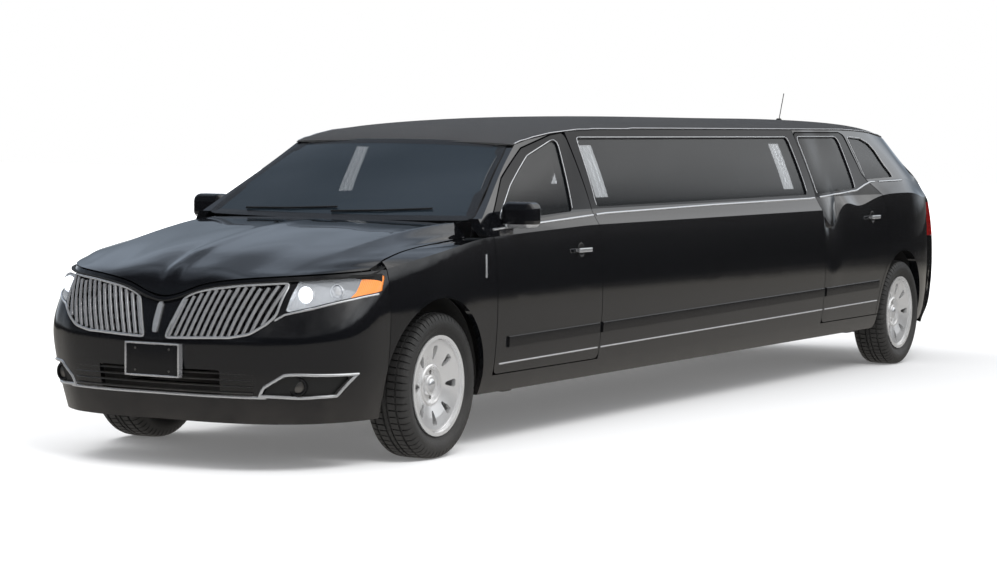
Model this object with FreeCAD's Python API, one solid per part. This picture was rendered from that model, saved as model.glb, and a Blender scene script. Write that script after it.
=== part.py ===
# Stretch limousine: a luxury wagon with a long straight section let in between its doors.
# Frame: millimetres, +X to the front, +Y to the car's left, +Z up.
# The origin lies on the ground, under the middle of the car.
import FreeCAD
import Part
import math
import os

V = FreeCAD.Vector

# Driving dimensions of the whole car
HALF_WIDTH = 975.0
ROOF_HEIGHT = 1735.0
WHEELBASE = 6550.0
FRONT_OVERHANG = 1115.0
REAR_OVERHANG = 1180.0
TRACK = 1683.0
LENGTH = FRONT_OVERHANG + WHEELBASE + REAR_OVERHANG

# Heights of the side of the body
SILL_BOTTOM = 285.0
NOSE_BOTTOM = 240.0
DOOR_BOTTOM = 385.0
CREASE = 1132.0
BELT = 1207.0
RAIL = 1660.0

# Where the doors start and end
DOOR_SETBACK = 555.0
FRONT_DOOR_LENGTH = 1208.0
REAR_DOOR_LEAD = 1485.0
REAR_DOOR_LENGTH = 1125.0

# Walls, gaps and glass
PANEL = 30.0
DOOR_WALL = 60.0
FRAME_WALL = 60.0
ROOF_WALL = 40.0
SHUT_GAP = 6.0
SEAT_GAP = 0.3
CLEAR_GAP = 1.0
GLASS = 5.0
GLASS_INSET = 9.0
OVERRUN = 60.0
ARCH_RADIUS = 445.0

# Wheels and tyres
TYRE_RADIUS = 370.0
TYRE_WIDTH = 240.0

FRONT_AXLE_X = LENGTH / 2 - FRONT_OVERHANG
REAR_AXLE_X = FRONT_AXLE_X - WHEELBASE
FRONT_DOOR_X = FRONT_AXLE_X - DOOR_SETBACK
B_POST_X = FRONT_DOOR_X - FRONT_DOOR_LENGTH
REAR_DOOR_X = REAR_AXLE_X + REAR_DOOR_LEAD
WHEEL_Y = TRACK / 2


def between(low, high, share):
    return low + (high - low) * share


def read(rows, key, column):
    """A table's value at a key, straight between its rows."""
    rows = sorted(rows)
    if key <= rows[0][0]:
        return rows[0][column]
    for a, b in zip(rows, rows[1:]):
        if key <= b[0]:
            return between(a[column], b[column], (key - a[0]) / (b[0] - a[0]))
    return rows[-1][column]


def smooth(rows, key, column):
    """A table's value at a key, on a curve that runs through its rows and never past them."""
    rows = sorted(rows)
    if key <= rows[0][0]:
        return rows[0][column]
    if key >= rows[-1][0]:
        return rows[-1][column]
    slopes = [(b[column] - a[column]) / (b[0] - a[0]) for a, b in zip(rows, rows[1:])]
    i = max(k for k in range(len(slopes)) if rows[k][0] <= key)

    def tangent(k):
        if k == 0 or k == len(slopes):
            return slopes[max(k - 1, 0)]
        before, after = slopes[k - 1], slopes[k]
        return 2 * before * after / (before + after) if before * after > 0 else 0.0

    h = rows[i + 1][0] - rows[i][0]
    t = (key - rows[i][0]) / h
    low = rows[i][column] * (1 + 2 * t) + tangent(i) * h * t
    high = rows[i + 1][column] * (3 - 2 * t) - tangent(i + 1) * h * (1 - t)
    return low * (1 - t) ** 2 + high * t ** 2


def spline(points):
    curve = Part.BSplineCurve()
    curve.interpolate(points)
    return curve.toShape()


def line(a, b):
    return Part.LineSegment(a, b).toShape()


def loft(wires, ruled=False):
    return Part.makeLoft(wires, True, ruled)


def ring_wire(outer_bands, inner_bands):
    """A closed section: outer bands one after another, back along the inner ones."""
    edges = [spline(b) for b in outer_bands]
    edges.append(line(outer_bands[-1][-1], inner_bands[-1][-1]))
    edges += [spline(list(reversed(b))) for b in reversed(inner_bands)]
    edges.append(line(inner_bands[0][0], outer_bands[0][0]))
    return Part.Wire(edges)


def offset_outline(points, distance):
    """The outline moved outward by a distance; the points run anticlockwise."""
    count = len(points)
    moved = []
    for i in range(count):
        (ax, ay), (bx, by), (cx, cy) = points[i - 1], points[i], points[(i + 1) % count]
        d1 = math.hypot(bx - ax, by - ay)
        d2 = math.hypot(cx - bx, cy - by)
        n1 = ((by - ay) / d1, -(bx - ax) / d1)
        n2 = ((cy - by) / d2, -(cx - bx) / d2)
        scale = distance / (1 + n1[0] * n2[0] + n1[1] * n2[1])
        moved.append((bx + (n1[0] + n2[0]) * scale, by + (n1[1] + n2[1]) * scale))
    return moved


def anticlockwise(points):
    area = sum(a[0] * b[1] - b[0] * a[1] for a, b in zip(points, points[1:] + points[:1]))
    return points if area > 0 else list(reversed(points))


STRAIGHT_SHARE = 0.001


def without_straights(points):
    """The outline without points that lie on a straight run."""
    kept = []
    for i, (bx, by) in enumerate(points):
        (ax, ay), (cx, cy) = points[i - 1], points[(i + 1) % len(points)]
        cross = (bx - ax) * (cy - by) - (by - ay) * (cx - bx)
        size = math.hypot(bx - ax, by - ay) * math.hypot(cx - bx, cy - by)
        if abs(cross) > STRAIGHT_SHARE * size:
            kept.append((bx, by))
    return kept


def rounded_wire(points, radius, place):
    """A closed wire of straight runs with an arc at each corner. place maps (u, v) to a point."""
    points = without_straights(points)
    count = len(points)
    corners = []
    for i in range(count):
        (ax, ay), (bx, by), (cx, cy) = points[i - 1], points[i], points[(i + 1) % count]
        d1 = math.hypot(ax - bx, ay - by)
        d2 = math.hypot(cx - bx, cy - by)
        u1 = ((ax - bx) / d1, (ay - by) / d1)
        u2 = ((cx - bx) / d2, (cy - by) / d2)
        half = math.acos(max(-1.0, min(1.0, u1[0] * u2[0] + u1[1] * u2[1]))) / 2
        reach = min(radius / math.tan(half), min(d1, d2) * 0.45)
        r = reach * math.tan(half)
        start = (bx + u1[0] * reach, by + u1[1] * reach)
        end = (bx + u2[0] * reach, by + u2[1] * reach)
        bis = (u1[0] + u2[0], u1[1] + u2[1])
        length = math.hypot(*bis)
        to_arc = r / math.sin(half) - r
        middle = (bx + bis[0] / length * to_arc, by + bis[1] / length * to_arc)
        corners.append((start, middle, end))
    edges = []
    for i, (start, middle, end) in enumerate(corners):
        edges.append(Part.Arc(place(*start), place(*middle), place(*end)).toShape())
        edges.append(line(place(*end), place(*corners[(i + 1) % count][0])))
    return Part.Wire(edges)


def side_prism(points, radius, y_from, y_to, taper=0.0):
    """An outline in side view carried from y_from to y_to, drawn in by taper at y_from."""
    points = anticlockwise(points)
    outer = rounded_wire(points, radius, lambda u, v: V(u, y_to, v))
    inner = rounded_wire(offset_outline(points, -taper), radius, lambda u, v: V(u, y_from, v))
    return loft([inner, outer], True)


def front_prism(points, radius, x_from, x_to):
    """An outline in front view carried along X."""
    wire = rounded_wire(anticlockwise(points), radius, lambda u, v: V(x_from, u, v))
    return Part.Face(wire).extrude(V(x_to - x_from, 0, 0))


def box(x0, x1, y0, y1, z0, z1):
    return Part.makeBox(x1 - x0, y1 - y0, z1 - z0, V(x0, y0, z0))


def tube(start, end, radius):
    return Part.makeCylinder(radius, (end - start).Length, start, end - start)


def mirrored(shape):
    return shape.mirror(V(0, 0, 0), V(0, 1, 0))


def both(shape):
    return Part.makeCompound([shape, mirrored(shape)])


CRUMB_SHARE = 0.01
TRIMMED_NODES = ("front_pillars", "quarter_panels", "centre_panels")


def save(shape, name):
    """Write a node's solids, without the crumbs that a cut leaves along an edge."""
    solids = shape.Solids
    largest = max(s.Volume for s in solids)
    if name in TRIMMED_NODES:
        solids = [s for s in solids if s.Volume > CRUMB_SHARE * largest]
    result = solids[0] if len(solids) == 1 else Part.makeCompound(solids)
    result.exportStep("parts/" + name + ".step")
    bad = [s for s in solids if not s.isValid() or s.Volume <= 0]
    print(name, len(solids), "solids", round(sum(s.Volume for s in solids) / 1e6, 2), "litres",
          "BAD" if bad else "")


# The side of the body: a lower band, a shoulder above the crease, and the tumblehome of the glass
LOWER_SHARES = [(0.164, 0.940), (0.222, 0.972), (0.300, 0.990), (0.380, 0.999), (0.461, 1.000),
                (0.548, 0.992), (0.605, 0.984)]
CREASE_WIDTH_SHARE = 0.972
GLASS_SHARES = [(0.0, 0.925), (0.289, 0.879), (0.6, 0.819), (0.867, 0.762), (1.0, 0.731)]

# Along the front door, as shares of its length behind its front edge:
# crease height and belt height as shares of the long section's, lean inward as a share of the width
FRONT_SIDE_SHARES = [(-0.04, 0.972, 0.952, 0.205), (0.14, 0.978, 0.960, 0.165),
                     (0.36, 0.985, 0.972, 0.112), (0.59, 0.991, 0.985, 0.060),
                     (0.80, 0.997, 0.996, 0.018), (1.0, 1.0, 1.0, 0.0)]

# Along the rear, as shares of the rear door's length behind its front edge:
# crease height, belt height, width, lean inward
REAR_SIDE_SHARES = [(0.0, 1.0, 1.0, 1.0, 0.0), (0.3, 1.007, 1.014, 1.0, 0.0),
                    (0.55, 1.016, 1.029, 1.0, 0.0), (0.72, 1.030, 1.048, 1.0, 0.005),
                    (0.88, 1.058, 1.080, 1.0, 0.013), (1.0, 1.071, 1.089, 1.0, 0.019),
                    (1.31, 1.079, 1.092, 0.998, 0.040), (1.6, 1.068, 1.092, 0.985, 0.082),
                    (1.85, 1.040, 1.085, 0.945, 0.155), (2.15, 1.010, 1.075, 0.880, 0.235)]


def side_numbers(x):
    """Crease height, belt height, width share and lean at a station."""
    if x > B_POST_X:
        share = (FRONT_DOOR_X - x) / FRONT_DOOR_LENGTH
        row = [read(FRONT_SIDE_SHARES, share, c) for c in (1, 2, 3)]
        return CREASE * row[0], BELT * row[1], 1.0, row[2]
    if x < REAR_DOOR_X:
        share = (REAR_DOOR_X - x) / REAR_DOOR_LENGTH
        row = [read(REAR_SIDE_SHARES, share, c) for c in (1, 2, 3, 4)]
        return CREASE * row[0], BELT * row[1], row[2], row[3]
    return CREASE, BELT, 1.0, 0.0


def side_bands(x, inset):
    """The side's three bands of points at a station, set in from the outer skin."""
    crease, belt, width, lean = side_numbers(x)
    stretch = crease / CREASE
    lower = [(HALF_WIDTH * w * width, ROOF_HEIGHT * z) for z, w in LOWER_SHARES]
    lower = [(y, z if z < DOOR_BOTTOM * 2 else between(DOOR_BOTTOM * 2, crease,
             (z - DOOR_BOTTOM * 2) / (CREASE - DOOR_BOTTOM * 2))) for y, z in lower]
    lower[0] = (lower[0][0], SILL_BOTTOM)
    lower.append((HALF_WIDTH * CREASE_WIDTH_SHARE * width, CREASE * stretch))
    drop = (belt - BELT) / (RAIL - BELT)

    def glass_y(z):
        share = (z - BELT) / (RAIL - BELT)
        plain = read(GLASS_SHARES, share, 1) * HALF_WIDTH * width
        return plain - lean * HALF_WIDTH * max(0.0, (z - belt) / (RAIL - belt))

    belt_y = HALF_WIDTH * width * (read(GLASS_SHARES, drop, 1) if drop > 0 else GLASS_SHARES[0][1])
    shoulder = [lower[-1], (between(lower[-1][0], belt_y, 0.5), between(CREASE * stretch, belt, 0.47)),
                (belt_y, belt)]
    glass = [(belt_y, belt)]
    for share in (0.25, 0.5, 0.75, 1.0):
        z = between(belt, RAIL, share)
        glass.append((glass_y(z), z))
    bands = [lower, shoulder, glass]
    return [[V(x, y - inset, z) for y, z in band] for band in bands]


def side_wire(x, inset, wall):
    return ring_wire(side_bands(x, inset), side_bands(x, inset + wall))


def front_stations():
    return [FRONT_DOOR_X - FRONT_DOOR_LENGTH * row[0] for row in FRONT_SIDE_SHARES]


def rear_stations():
    return [REAR_DOOR_X - REAR_DOOR_LENGTH * row[0] for row in REAR_SIDE_SHARES]


def front_side(inset, wall):
    return loft([side_wire(x, inset, wall) for x in front_stations()])


def rear_side(inset, wall):
    return loft([side_wire(x, inset, wall) for x in rear_stations()])


def long_side(inset, wall):
    face = Part.Face(side_wire(B_POST_X, inset, wall))
    return face.extrude(V(REAR_DOOR_X - B_POST_X, 0, 0))


def door_points(rows, start, length, column=0):
    """Outline rows (share of the door's length, share of the height to the rail) as points."""
    return [(start - length * row[column], between(DOOR_BOTTOM, RAIL, row[1])) for row in rows]


# Outlines in side view: share of the length back, share of the height up, share back of the opening
FRONT_DOOR_SHARES = [(0.0, 0.0, 0.0), (1.0, 0.0, 1.0), (1.0, 0.646, 1.0), (0.989, 0.985, 1.0),
                     (0.856, 0.972, 0.856), (0.586, 0.916, 0.586), (0.315, 0.792, 0.315),
                     (0.045, 0.612, 0.045), (0.0, 0.575, 0.0)]
REAR_DOOR_SHARES = [(0.0, 0.0, 0.0), (1.044, 0.0, 1.044), (1.044, 0.56, 1.044), (0.960, 0.677, 0.960),
                    (0.840, 0.765, 0.845), (0.805, 0.873, 0.820), (0.790, 0.970, 0.813),
                    (0.740, 0.985, 0.740), (0.0, 0.985, 0.0)]
FRONT_GLASS_SHARES = [(0.135, 0.622), (0.802, 0.647), (0.892, 0.951), (0.838, 0.945),
                      (0.604, 0.882), (0.351, 0.758), (0.171, 0.652)]
REAR_GLASS_SHARES = [(0.022, 0.670), (0.655, 0.690), (0.665, 0.945), (0.640, 0.962), (0.022, 0.962)]
QUARTER_GLASS_SHARES = [(0.884, 0.735), (1.355, 0.742), (1.352, 0.762), (1.298, 0.812), (1.255, 0.885),
                        (1.20, 0.925), (1.085, 0.953), (0.852, 0.962)]
LONG_GLASS_SHARES = [(0.022, 0.662), (0.957, 0.668), (0.957, 0.960), (0.035, 0.960)]
DOOR_CORNER = 40.0
GLASS_CORNER = 25.0
PRISM_INSIDE = 480.0
PRISM_OUTSIDE = 1080.0
FLANGE = 35.0
CENTRE_LENGTH = B_POST_X - REAR_DOOR_X

# The roof's edge in side view, and its crown: shares of the front or rear door's length back,
# height of the middle, height of the edge
FRONT_ROOF_SHARES = [(0.535, 0.916, 0.906), (0.665, 0.941, 0.923), (0.85, 0.961, 0.940),
                     (1.04, 0.974, 0.950), (1.345, 0.988, 0.955), (1.79, 0.997, 0.957)]
REAR_ROOF_SHARES = [(0.3, 1.0, 0.958), (0.673, 1.0, 0.958), (1.013, 0.998, 0.955),
                    (1.304, 0.993, 0.947), (1.595, 0.979, 0.930), (1.789, 0.961, 0.910),
                    (1.945, 0.941, 0.888)]
DRIP_EDGE = 5.0
CROWN_SHARE = 0.6


def roof_rows():
    front = [(FRONT_DOOR_X - FRONT_DOOR_LENGTH * u, ROOF_HEIGHT * c, ROOF_HEIGHT * e)
             for u, c, e in FRONT_ROOF_SHARES]
    rear = [(REAR_DOOR_X - REAR_DOOR_LENGTH * u, ROOF_HEIGHT * c, ROOF_HEIGHT * e)
            for u, c, e in REAR_ROOF_SHARES]
    return front + rear


def side_y(x, z):
    """Half the width of the outer skin at a station and height."""
    points = [(p.z, p.y) for band in side_bands(x, 0) for p in band]
    return read(points, z, 1)


def trim_above(shape):
    """Cut a side wall off along the roof's edge."""
    rows = roof_rows()
    top = RAIL + OVERRUN
    first, last = rows[0], rows[-1]
    steep = (rows[1][2] - first[2]) / (rows[1][0] - first[0])
    ahead = FRONT_DOOR_X + OVERRUN
    outline = [V(ahead, 0, first[2] + steep * (ahead - first[0]) - CLEAR_GAP)]
    outline += [V(x, 0, e - CLEAR_GAP) for x, c, e in rows]
    outline += [V(last[0] - LENGTH, 0, last[2] - CLEAR_GAP), V(last[0] - LENGTH, 0, top)]
    outline.append(V(ahead, 0, top))
    face = Part.Face(Part.makePolygon(outline + outline[:1]))
    return shape.cut(face.extrude(V(0, PRISM_OUTSIDE, 0)))


def roof_section(x, centre, edge):
    half = side_y(x, edge)
    ledge = half - FRAME_WALL - SHUT_GAP
    drop = centre - edge - DRIP_EDGE
    tops = []
    for v in (0.0, 0.3, 0.55, 0.75, 0.88, 0.95, 1.0):
        z = centre - drop * (CROWN_SHARE * v ** 2 + (1 - CROWN_SHARE) * v ** 8)
        tops.append((half * v, z))
    unders = []
    for v in (0.0, 0.4, 0.7, 1.0):
        z = between(centre - ROOF_WALL, edge, v ** 2.5)
        unders.append((ledge * v, z))
    top = [V(x, -y, z) for y, z in reversed(tops)] + [V(x, y, z) for y, z in tops[1:]]
    under = [V(x, y, z) for y, z in reversed(unders)] + [V(x, -y, z) for y, z in unders[1:]]
    corner = V(x, half, edge)
    other = V(x, -half, edge)
    edges = [spline(top), line(top[-1], corner), line(corner, under[0]), spline(under),
             line(under[-1], other), line(other, top[0])]
    return Part.Wire(edges)


def make_roof():
    whole = loft([roof_section(*row) for row in roof_rows()])
    tail = make_tail(-OVERRUN * 4, OVERRUN * 4 + PANEL + CLEAR_GAP)
    end = REAR_AXLE_X - REAR_OVERHANG * TAIL_SHARES[-1][1]
    behind = box(-LENGTH, end, -HALF_WIDTH, HALF_WIDTH, ROOF_HEIGHT * TAIL_SHARES[-1][0], ROOF_HEIGHT)
    kept = whole.cut(tail.fuse(behind)).cut(tail.translated(V(0, 0, CLEAR_GAP)))
    return max(kept.Solids, key=lambda solid: solid.Volume)


# The tail in the middle and at its corners: height, reach behind the rear axle, corner's reach
TAIL_SHARES = [(0.146, 0.880, 0.620), (0.173, 0.927, 0.668), (0.207, 0.974, 0.715), (0.288, 0.996, 0.737),
               (0.357, 1.0, 0.741), (0.45, 0.987, 0.728), (0.548, 0.970, 0.711),
               (0.611, 0.948, 0.672), (0.663, 0.922, 0.640), (0.749, 0.810, 0.540),
               (0.836, 0.681, 0.443), (0.899, 0.573, 0.366), (0.927, 0.515, 0.325)]
TAIL_BELT_ROW = 8
BOW_SHARES = [(0.0, 0.0), (0.3, 0.027), (0.55, 0.116), (0.75, 0.282), (0.88, 0.498), (0.95, 0.714),
              (1.0, 1.0), (2.0, 6.7)]
TAIL_STATION_SHARES = (0.0, 0.15, 0.3, 0.42, 0.54, 0.64, 0.72, 0.79, 0.85, 0.89, 0.92)


def tail_x(y, z):
    """The tail's skin at a place across and a height."""
    height = z / ROOF_HEIGHT
    middle = REAR_AXLE_X - REAR_OVERHANG * read(TAIL_SHARES, height, 1)
    corner = REAR_AXLE_X - REAR_OVERHANG * read(TAIL_SHARES, height, 2)
    return between(middle, corner, read(BOW_SHARES, abs(y) / side_y(corner, z), 1))


def tail_section(y, inset, wall):
    rows = [ROOF_HEIGHT * row[0] for row in TAIL_SHARES]
    heights = [rows[:TAIL_BELT_ROW + 1], rows[TAIL_BELT_ROW:]]
    outer = [[V(tail_x(y, z) + inset, y, z) for z in band] for band in heights]
    inner = [[V(p.x + wall, y, p.z) for p in band] for band in outer]
    return ring_wire(outer, inner)


def make_tail(inset, wall):
    shares = [-s for s in reversed(TAIL_STATION_SHARES)] + list(TAIL_STATION_SHARES[1:])
    return loft([tail_section(HALF_WIDTH * s, inset, wall) for s in shares])


def tail_line(gap):
    """Everything behind the corner line of the tail, as a solid."""
    points = [(REAR_AXLE_X - REAR_OVERHANG * row[2] - gap, ROOF_HEIGHT * row[0]) for row in TAIL_SHARES]
    low, high = points[0], points[-1]
    back = REAR_AXLE_X - REAR_OVERHANG - OVERRUN
    outline = [V(low[0], -HALF_WIDTH - OVERRUN, 0)]
    outline += [V(x, -HALF_WIDTH - OVERRUN, z) for x, z in points]
    outline += [V(high[0] + OVERRUN, -HALF_WIDTH - OVERRUN, RAIL + OVERRUN),
                V(back, -HALF_WIDTH - OVERRUN, RAIL + OVERRUN), V(back, -HALF_WIDTH - OVERRUN, 0)]
    face = Part.Face(Part.makePolygon(outline + outline[:1]))
    return face.extrude(V(0, 2 * (HALF_WIDTH + OVERRUN), 0))


# The fenders, from the front door forward: place ahead of the front axle, crease height,
# width share, then the hood's edge: half width and height, and the bottom's height
FENDER_SHARES = [(-0.4880, 0.6355, 1.0, 0.829, 0.630, 0.1643), (-0.215, 0.6200, 1.0, 0.836, 0.6215, 0.160),
                 (0.0, 0.6010, 0.997, 0.848, 0.6135, 0.155), (0.17, 0.5850, 0.982, 0.862, 0.604, 0.150),
                 (0.30, 0.5715, 0.960, 0.876, 0.592, 0.144), (0.386, 0.5620, 0.941, 0.886, 0.5817, 0.139)]
LOWER_ROUND = 770.0
FENDER_GAP = 4.5


def lower_heights(bottom, top):
    """Heights of a section's lower band from its bottom to a crease or lip."""
    heights = [ROOF_HEIGHT * row[0] for row in LOWER_SHARES] + [CREASE]
    span = CREASE - LOWER_ROUND
    high = [between(LOWER_ROUND, top, (z - LOWER_ROUND) / span) for z in heights if z > LOWER_ROUND]
    heights = [z for z in heights if z <= LOWER_ROUND] + high
    return [bottom] + heights[1:]


def fender_bands(row, inset):
    share, crease, width, edge_y, edge_z, bottom = row
    x = FRONT_AXLE_X + FRONT_OVERHANG * share - FENDER_GAP
    crease_z = ROOF_HEIGHT * crease
    widths = [w for z, w in LOWER_SHARES] + [CREASE_WIDTH_SHARE]
    heights = lower_heights(ROOF_HEIGHT * bottom, crease_z)
    lower = [V(x, HALF_WIDTH * w * width - inset, z) for w, z in zip(widths, heights)]
    lower[-1].z = crease_z - inset * CREASE_TURN_SHARE
    edge = V(x, HALF_WIDTH * edge_y, ROOF_HEIGHT * edge_z - inset)
    middle = V(x, between(lower[-1].y, edge.y, 0.45), between(lower[-1].z, edge.z, 0.55))
    return [lower, [lower[-1], middle, edge]]


CREASE_TURN_SHARE = 0.4


def make_fender(grown=0.0):
    sections = [ring_wire(fender_bands(row, 0), fender_bands(row, PANEL + grown)) for row in FENDER_SHARES]
    return loft(sections)


# The nose: profile in the middle; then, by share of the way out to the fender, how far the skin is
# swept back low down and high up, and how much of the profile's lean stays
NOSE_SHARES = [(0.138, 0.930), (0.173, 0.949), (0.2035, 0.960), (0.241, 0.977), (0.288, 0.990),
               (0.323, 0.9965), (0.357, 1.0), (0.380, 0.9965), (0.403, 0.987), (0.429, 0.971),
               (0.455, 0.954), (0.473, 0.940), (0.483, 0.931), (0.501, 0.915), (0.524, 0.885),
               (0.553, 0.840), (0.60, 0.77)]
LOW_SWEEP_SHARES = [(-0.215, 0.007), (0.0, 0.0), (0.215, 0.007), (0.376, 0.019), (0.538, 0.042),
                    (0.645, 0.070), (0.753, 0.120), (0.839, 0.175), (0.903, 0.245), (0.941, 0.305),
                    (0.968, 0.370), (0.986, 0.440), (0.996, 0.525), (1.0, 0.614)]
HIGH_SWEEP_SHARES = [(-0.215, 0.011, 0.72), (0.0, 0.0, 1.0), (0.215, 0.011, 0.72), (0.377, 0.031, 0.6),
                     (0.537, 0.07, 0.54), (0.645, 0.115, 0.47), (0.752, 0.19, 0.39),
                     (0.838, 0.28, 0.29), (0.902, 0.375, 0.2), (0.946, 0.46, 0.12),
                     (0.978, 0.54, 0.05), (1.0, 0.614, 0.0)]
LOW_WEIGHT_SHARES = [(0.14, 0.65), (0.26, 0.85), (0.36, 1.0), (0.42, 0.8), (0.48, 0.5), (0.535, 0.0)]
LIP_SHARES = [(-0.06, 0.486), (0.0, 0.481), (0.06, 0.486), (0.125, 0.497), (0.2, 0.513), (0.3, 0.526),
              (0.415, 0.5345), (0.55, 0.541), (0.674, 0.546), (0.75, 0.549), (0.86, 0.555), (0.941, 0.562),
              (1.1, 0.562)]
NOSE_STATION_SHARES = (0.0, 0.11, 0.22, 0.33, 0.44, 0.55, 0.65, 0.74, 0.82, 0.88, 0.925, 0.957,
                       0.979, 0.992, 1.0)
TINY_SHARE = 0.004


def nose_width(z):
    """Half the width where the nose meets the fenders, at a height."""
    return smooth([(p.z, p.y) for p in fender_bands(FENDER_SHARES[-1], 0)[0]], z, 1)


def nose_reach(v, z):
    """The nose's skin at a share of the way out to the fender and a height."""
    height = z / ROOF_HEIGHT
    weight = smooth(LOW_WEIGHT_SHARES, height, 1)
    sweep = between(smooth(HIGH_SWEEP_SHARES, v, 1), smooth(LOW_SWEEP_SHARES, v, 1), weight)
    lean = (1 - smooth(NOSE_SHARES, height, 1)) * smooth(HIGH_SWEEP_SHARES, v, 2)
    return FRONT_AXLE_X + FRONT_OVERHANG * (1 - sweep - lean)


def nose_x(y, z):
    return nose_reach(min(1.0, abs(y) / nose_width(z)), z)


def lip_z(y):
    return ROOF_HEIGHT * smooth(LIP_SHARES, abs(y) / HALF_WIDTH, 1)


def nose_point(v, z, inset):
    """A point of the nose, set in along the skin's direction in plan."""
    width = nose_width(z)
    if v >= 1.0:
        return V(nose_reach(v, z), width - inset, z)
    run = nose_reach(v + TINY_SHARE, z) - nose_reach(max(0.0, v - TINY_SHARE), z) if v > 0 else 0.0
    out = V(2 * TINY_SHARE * width, -run, 0)
    out.normalize()
    return V(nose_reach(v, z), v * width, z) - out * inset


def nose_section(share, inset, wall):
    v = abs(share)
    heights = lower_heights(NOSE_BOTTOM, lip_z(v * nose_width(lip_z(v * HALF_WIDTH))))
    bands = [[nose_point(v, z, d) for z in heights] for d in (inset, inset + wall)]
    if share < 0:
        bands = [[V(p.x, -p.y, p.z) for p in band] for band in bands]
    return ring_wire([bands[0]], [bands[1]])


def make_nose(inset, wall):
    shares = [-s for s in reversed(NOSE_STATION_SHARES)] + list(NOSE_STATION_SHARES[1:])
    return loft([nose_section(s, inset, wall) for s in shares])


# The hood: share of the way back from lip to screen, share of the rise in the middle and at the
# crease on either side, and how far the wall's inner face is turned to the back there
HOOD_RISE_SHARES = [(0.0, 0.0, 0.0, 1.0), (0.022, 0.20, 0.035, 0.85), (0.06, 0.355, 0.09, 0.65),
                    (0.11, 0.455, 0.17, 0.45), (0.19, 0.585, 0.30, 0.2), (0.27, 0.675, 0.42, 0.05),
                    (0.345, 0.741, 0.52, 0.0), (0.45, 0.817, 0.64, 0.0), (0.6, 0.913, 0.78, 0.0),
                    (0.77, 0.975, 0.91, 0.0), (1.0, 1.0, 1.0, 0.0)]
HOOD_ROW_SHARES = tuple(row[0] for row in HOOD_RISE_SHARES)
COWL_SETBACK = 445.0
COWL_X = FRONT_AXLE_X - COWL_SETBACK
COWL_Z = 1178.0
COWL_SWEEP = 85.0
COWL_FALL = 7.0
HOOD_WALL = 22.0
HOOD_LAP = 8.0
LIP_GAP = 8.0
CREASE_HALF_SHARES = (0.64, 0.76)
SIDE_START_SHARE = 0.117
# Across the hood: stations run from the middle (0) to the crease (1) and the fender's edge (2). Each
# row has a station and the weight of the next line's height over the last one's.
HOOD_ACROSS_SHARES = [(-0.16, 0.09), (0.0, 0.0), (0.16, 0.09), (0.4, 0.40), (0.64, 0.80), (0.85, 0.93),
                      (1.0, 1.0), (1.15, 1.12), (1.5, 1.5), (2.0, 2.0)]
HOOD_STATION_SHARES = (0.0, 0.03, 0.055, 0.08, 0.12, 0.2, 0.3, 0.4, 0.52, 0.64, 0.76, 0.88, 0.96, 1.0,
                       1.05, 1.15, 1.3, 1.5, 1.75, 2.0, 2.2)
HOOD_END_SHARE = 0.925
# The ridge on the middle line: station and share of its height; then along the hood
RIDGE_RISE = 12.0
RIDGE_SHARES = [(-0.03, 0.92), (0.0, 1.0), (0.03, 0.92), (0.055, 0.5), (0.08, 0.1), (0.12, 0.0)]
RIDGE_FADE_SHARES = [(0.0, 0.0), (0.03, 0.8), (0.1, 1.0), (0.19, 0.8), (0.3, 0.35), (1.0, 0.15)]


def hood_side(t):
    """Place across and height of the hood's side, along the fender's edge."""
    edge = HALF_WIDTH * FENDER_SHARES[-1][3] + HOOD_LAP
    lip = lip_z(edge)
    front, back = nose_x(edge, lip), COWL_X - COWL_SWEEP
    share = (between(front, back, t) - FRONT_AXLE_X) / FRONT_OVERHANG
    y = HALF_WIDTH * smooth(FENDER_SHARES, share, 3) + HOOD_LAP
    z = ROOF_HEIGHT * smooth(FENDER_SHARES, share, 4)
    return y, between(lip + LIP_GAP, z, min(1.0, t / SIDE_START_SHARE))


def hood_y(station, t):
    crease = HALF_WIDTH * between(CREASE_HALF_SHARES[0], CREASE_HALF_SHARES[1], t)
    if station <= 1:
        return crease * station
    side = hood_side(t)[0]
    if station <= 2:
        return between(crease, side, station - 1)
    return between(side, HALF_WIDTH * HOOD_END_SHARE, (station - 2) / (HOOD_STATION_SHARES[-1] - 2))


def hood_point(station, t, inset):
    y = hood_y(station, t)
    front_y, back_y = [hood_y(min(station, 2.0), share) for share in (0.0, 1.0)]
    inner_y = min(front_y, hood_y(1.0, 0.0))
    lip = lip_z(inner_y)
    weight = smooth(HOOD_ACROSS_SHARES, station, 1)
    rise = between(smooth(HOOD_RISE_SHARES, t, 1), smooth(HOOD_RISE_SHARES, t, 2), min(1.0, weight))
    v = min(1.0, back_y / HALF_WIDTH)
    z = between(lip + LIP_GAP, COWL_Z - COWL_FALL * min(1.0, station) ** 2, rise)
    z += RIDGE_RISE * smooth(RIDGE_SHARES, station, 1) * smooth(RIDGE_FADE_SHARES, t, 1)
    if station > 1:
        z = between(z, hood_side(t)[1], weight - 1)
    if t == 0:
        z = lip_z(front_y) + LIP_GAP
    turn = smooth(HOOD_RISE_SHARES, t, 3)
    x = between(nose_x(front_y, lip_z(front_y)), COWL_X - COWL_SWEEP * v ** 2, t)
    return V(x - inset * turn, y, z - inset * math.sqrt(1 - turn ** 2))


def hood_section(station, inset):
    side = 1 if station > 0 else -1
    points = [hood_point(abs(station), t, inset) for t in HOOD_ROW_SHARES]
    return [V(p.x, p.y * side, p.z) for p in points]


def hood_outline(gap):
    """The hood's outline in plan, along the fenders' edges."""
    points = [(FRONT_AXLE_X + FRONT_OVERHANG * r[0], HALF_WIDTH * r[3] - gap) for r in FENDER_SHARES]
    ahead = FRONT_AXLE_X + FRONT_OVERHANG + OVERRUN
    return points + [(ahead, points[-1][1])]


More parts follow.
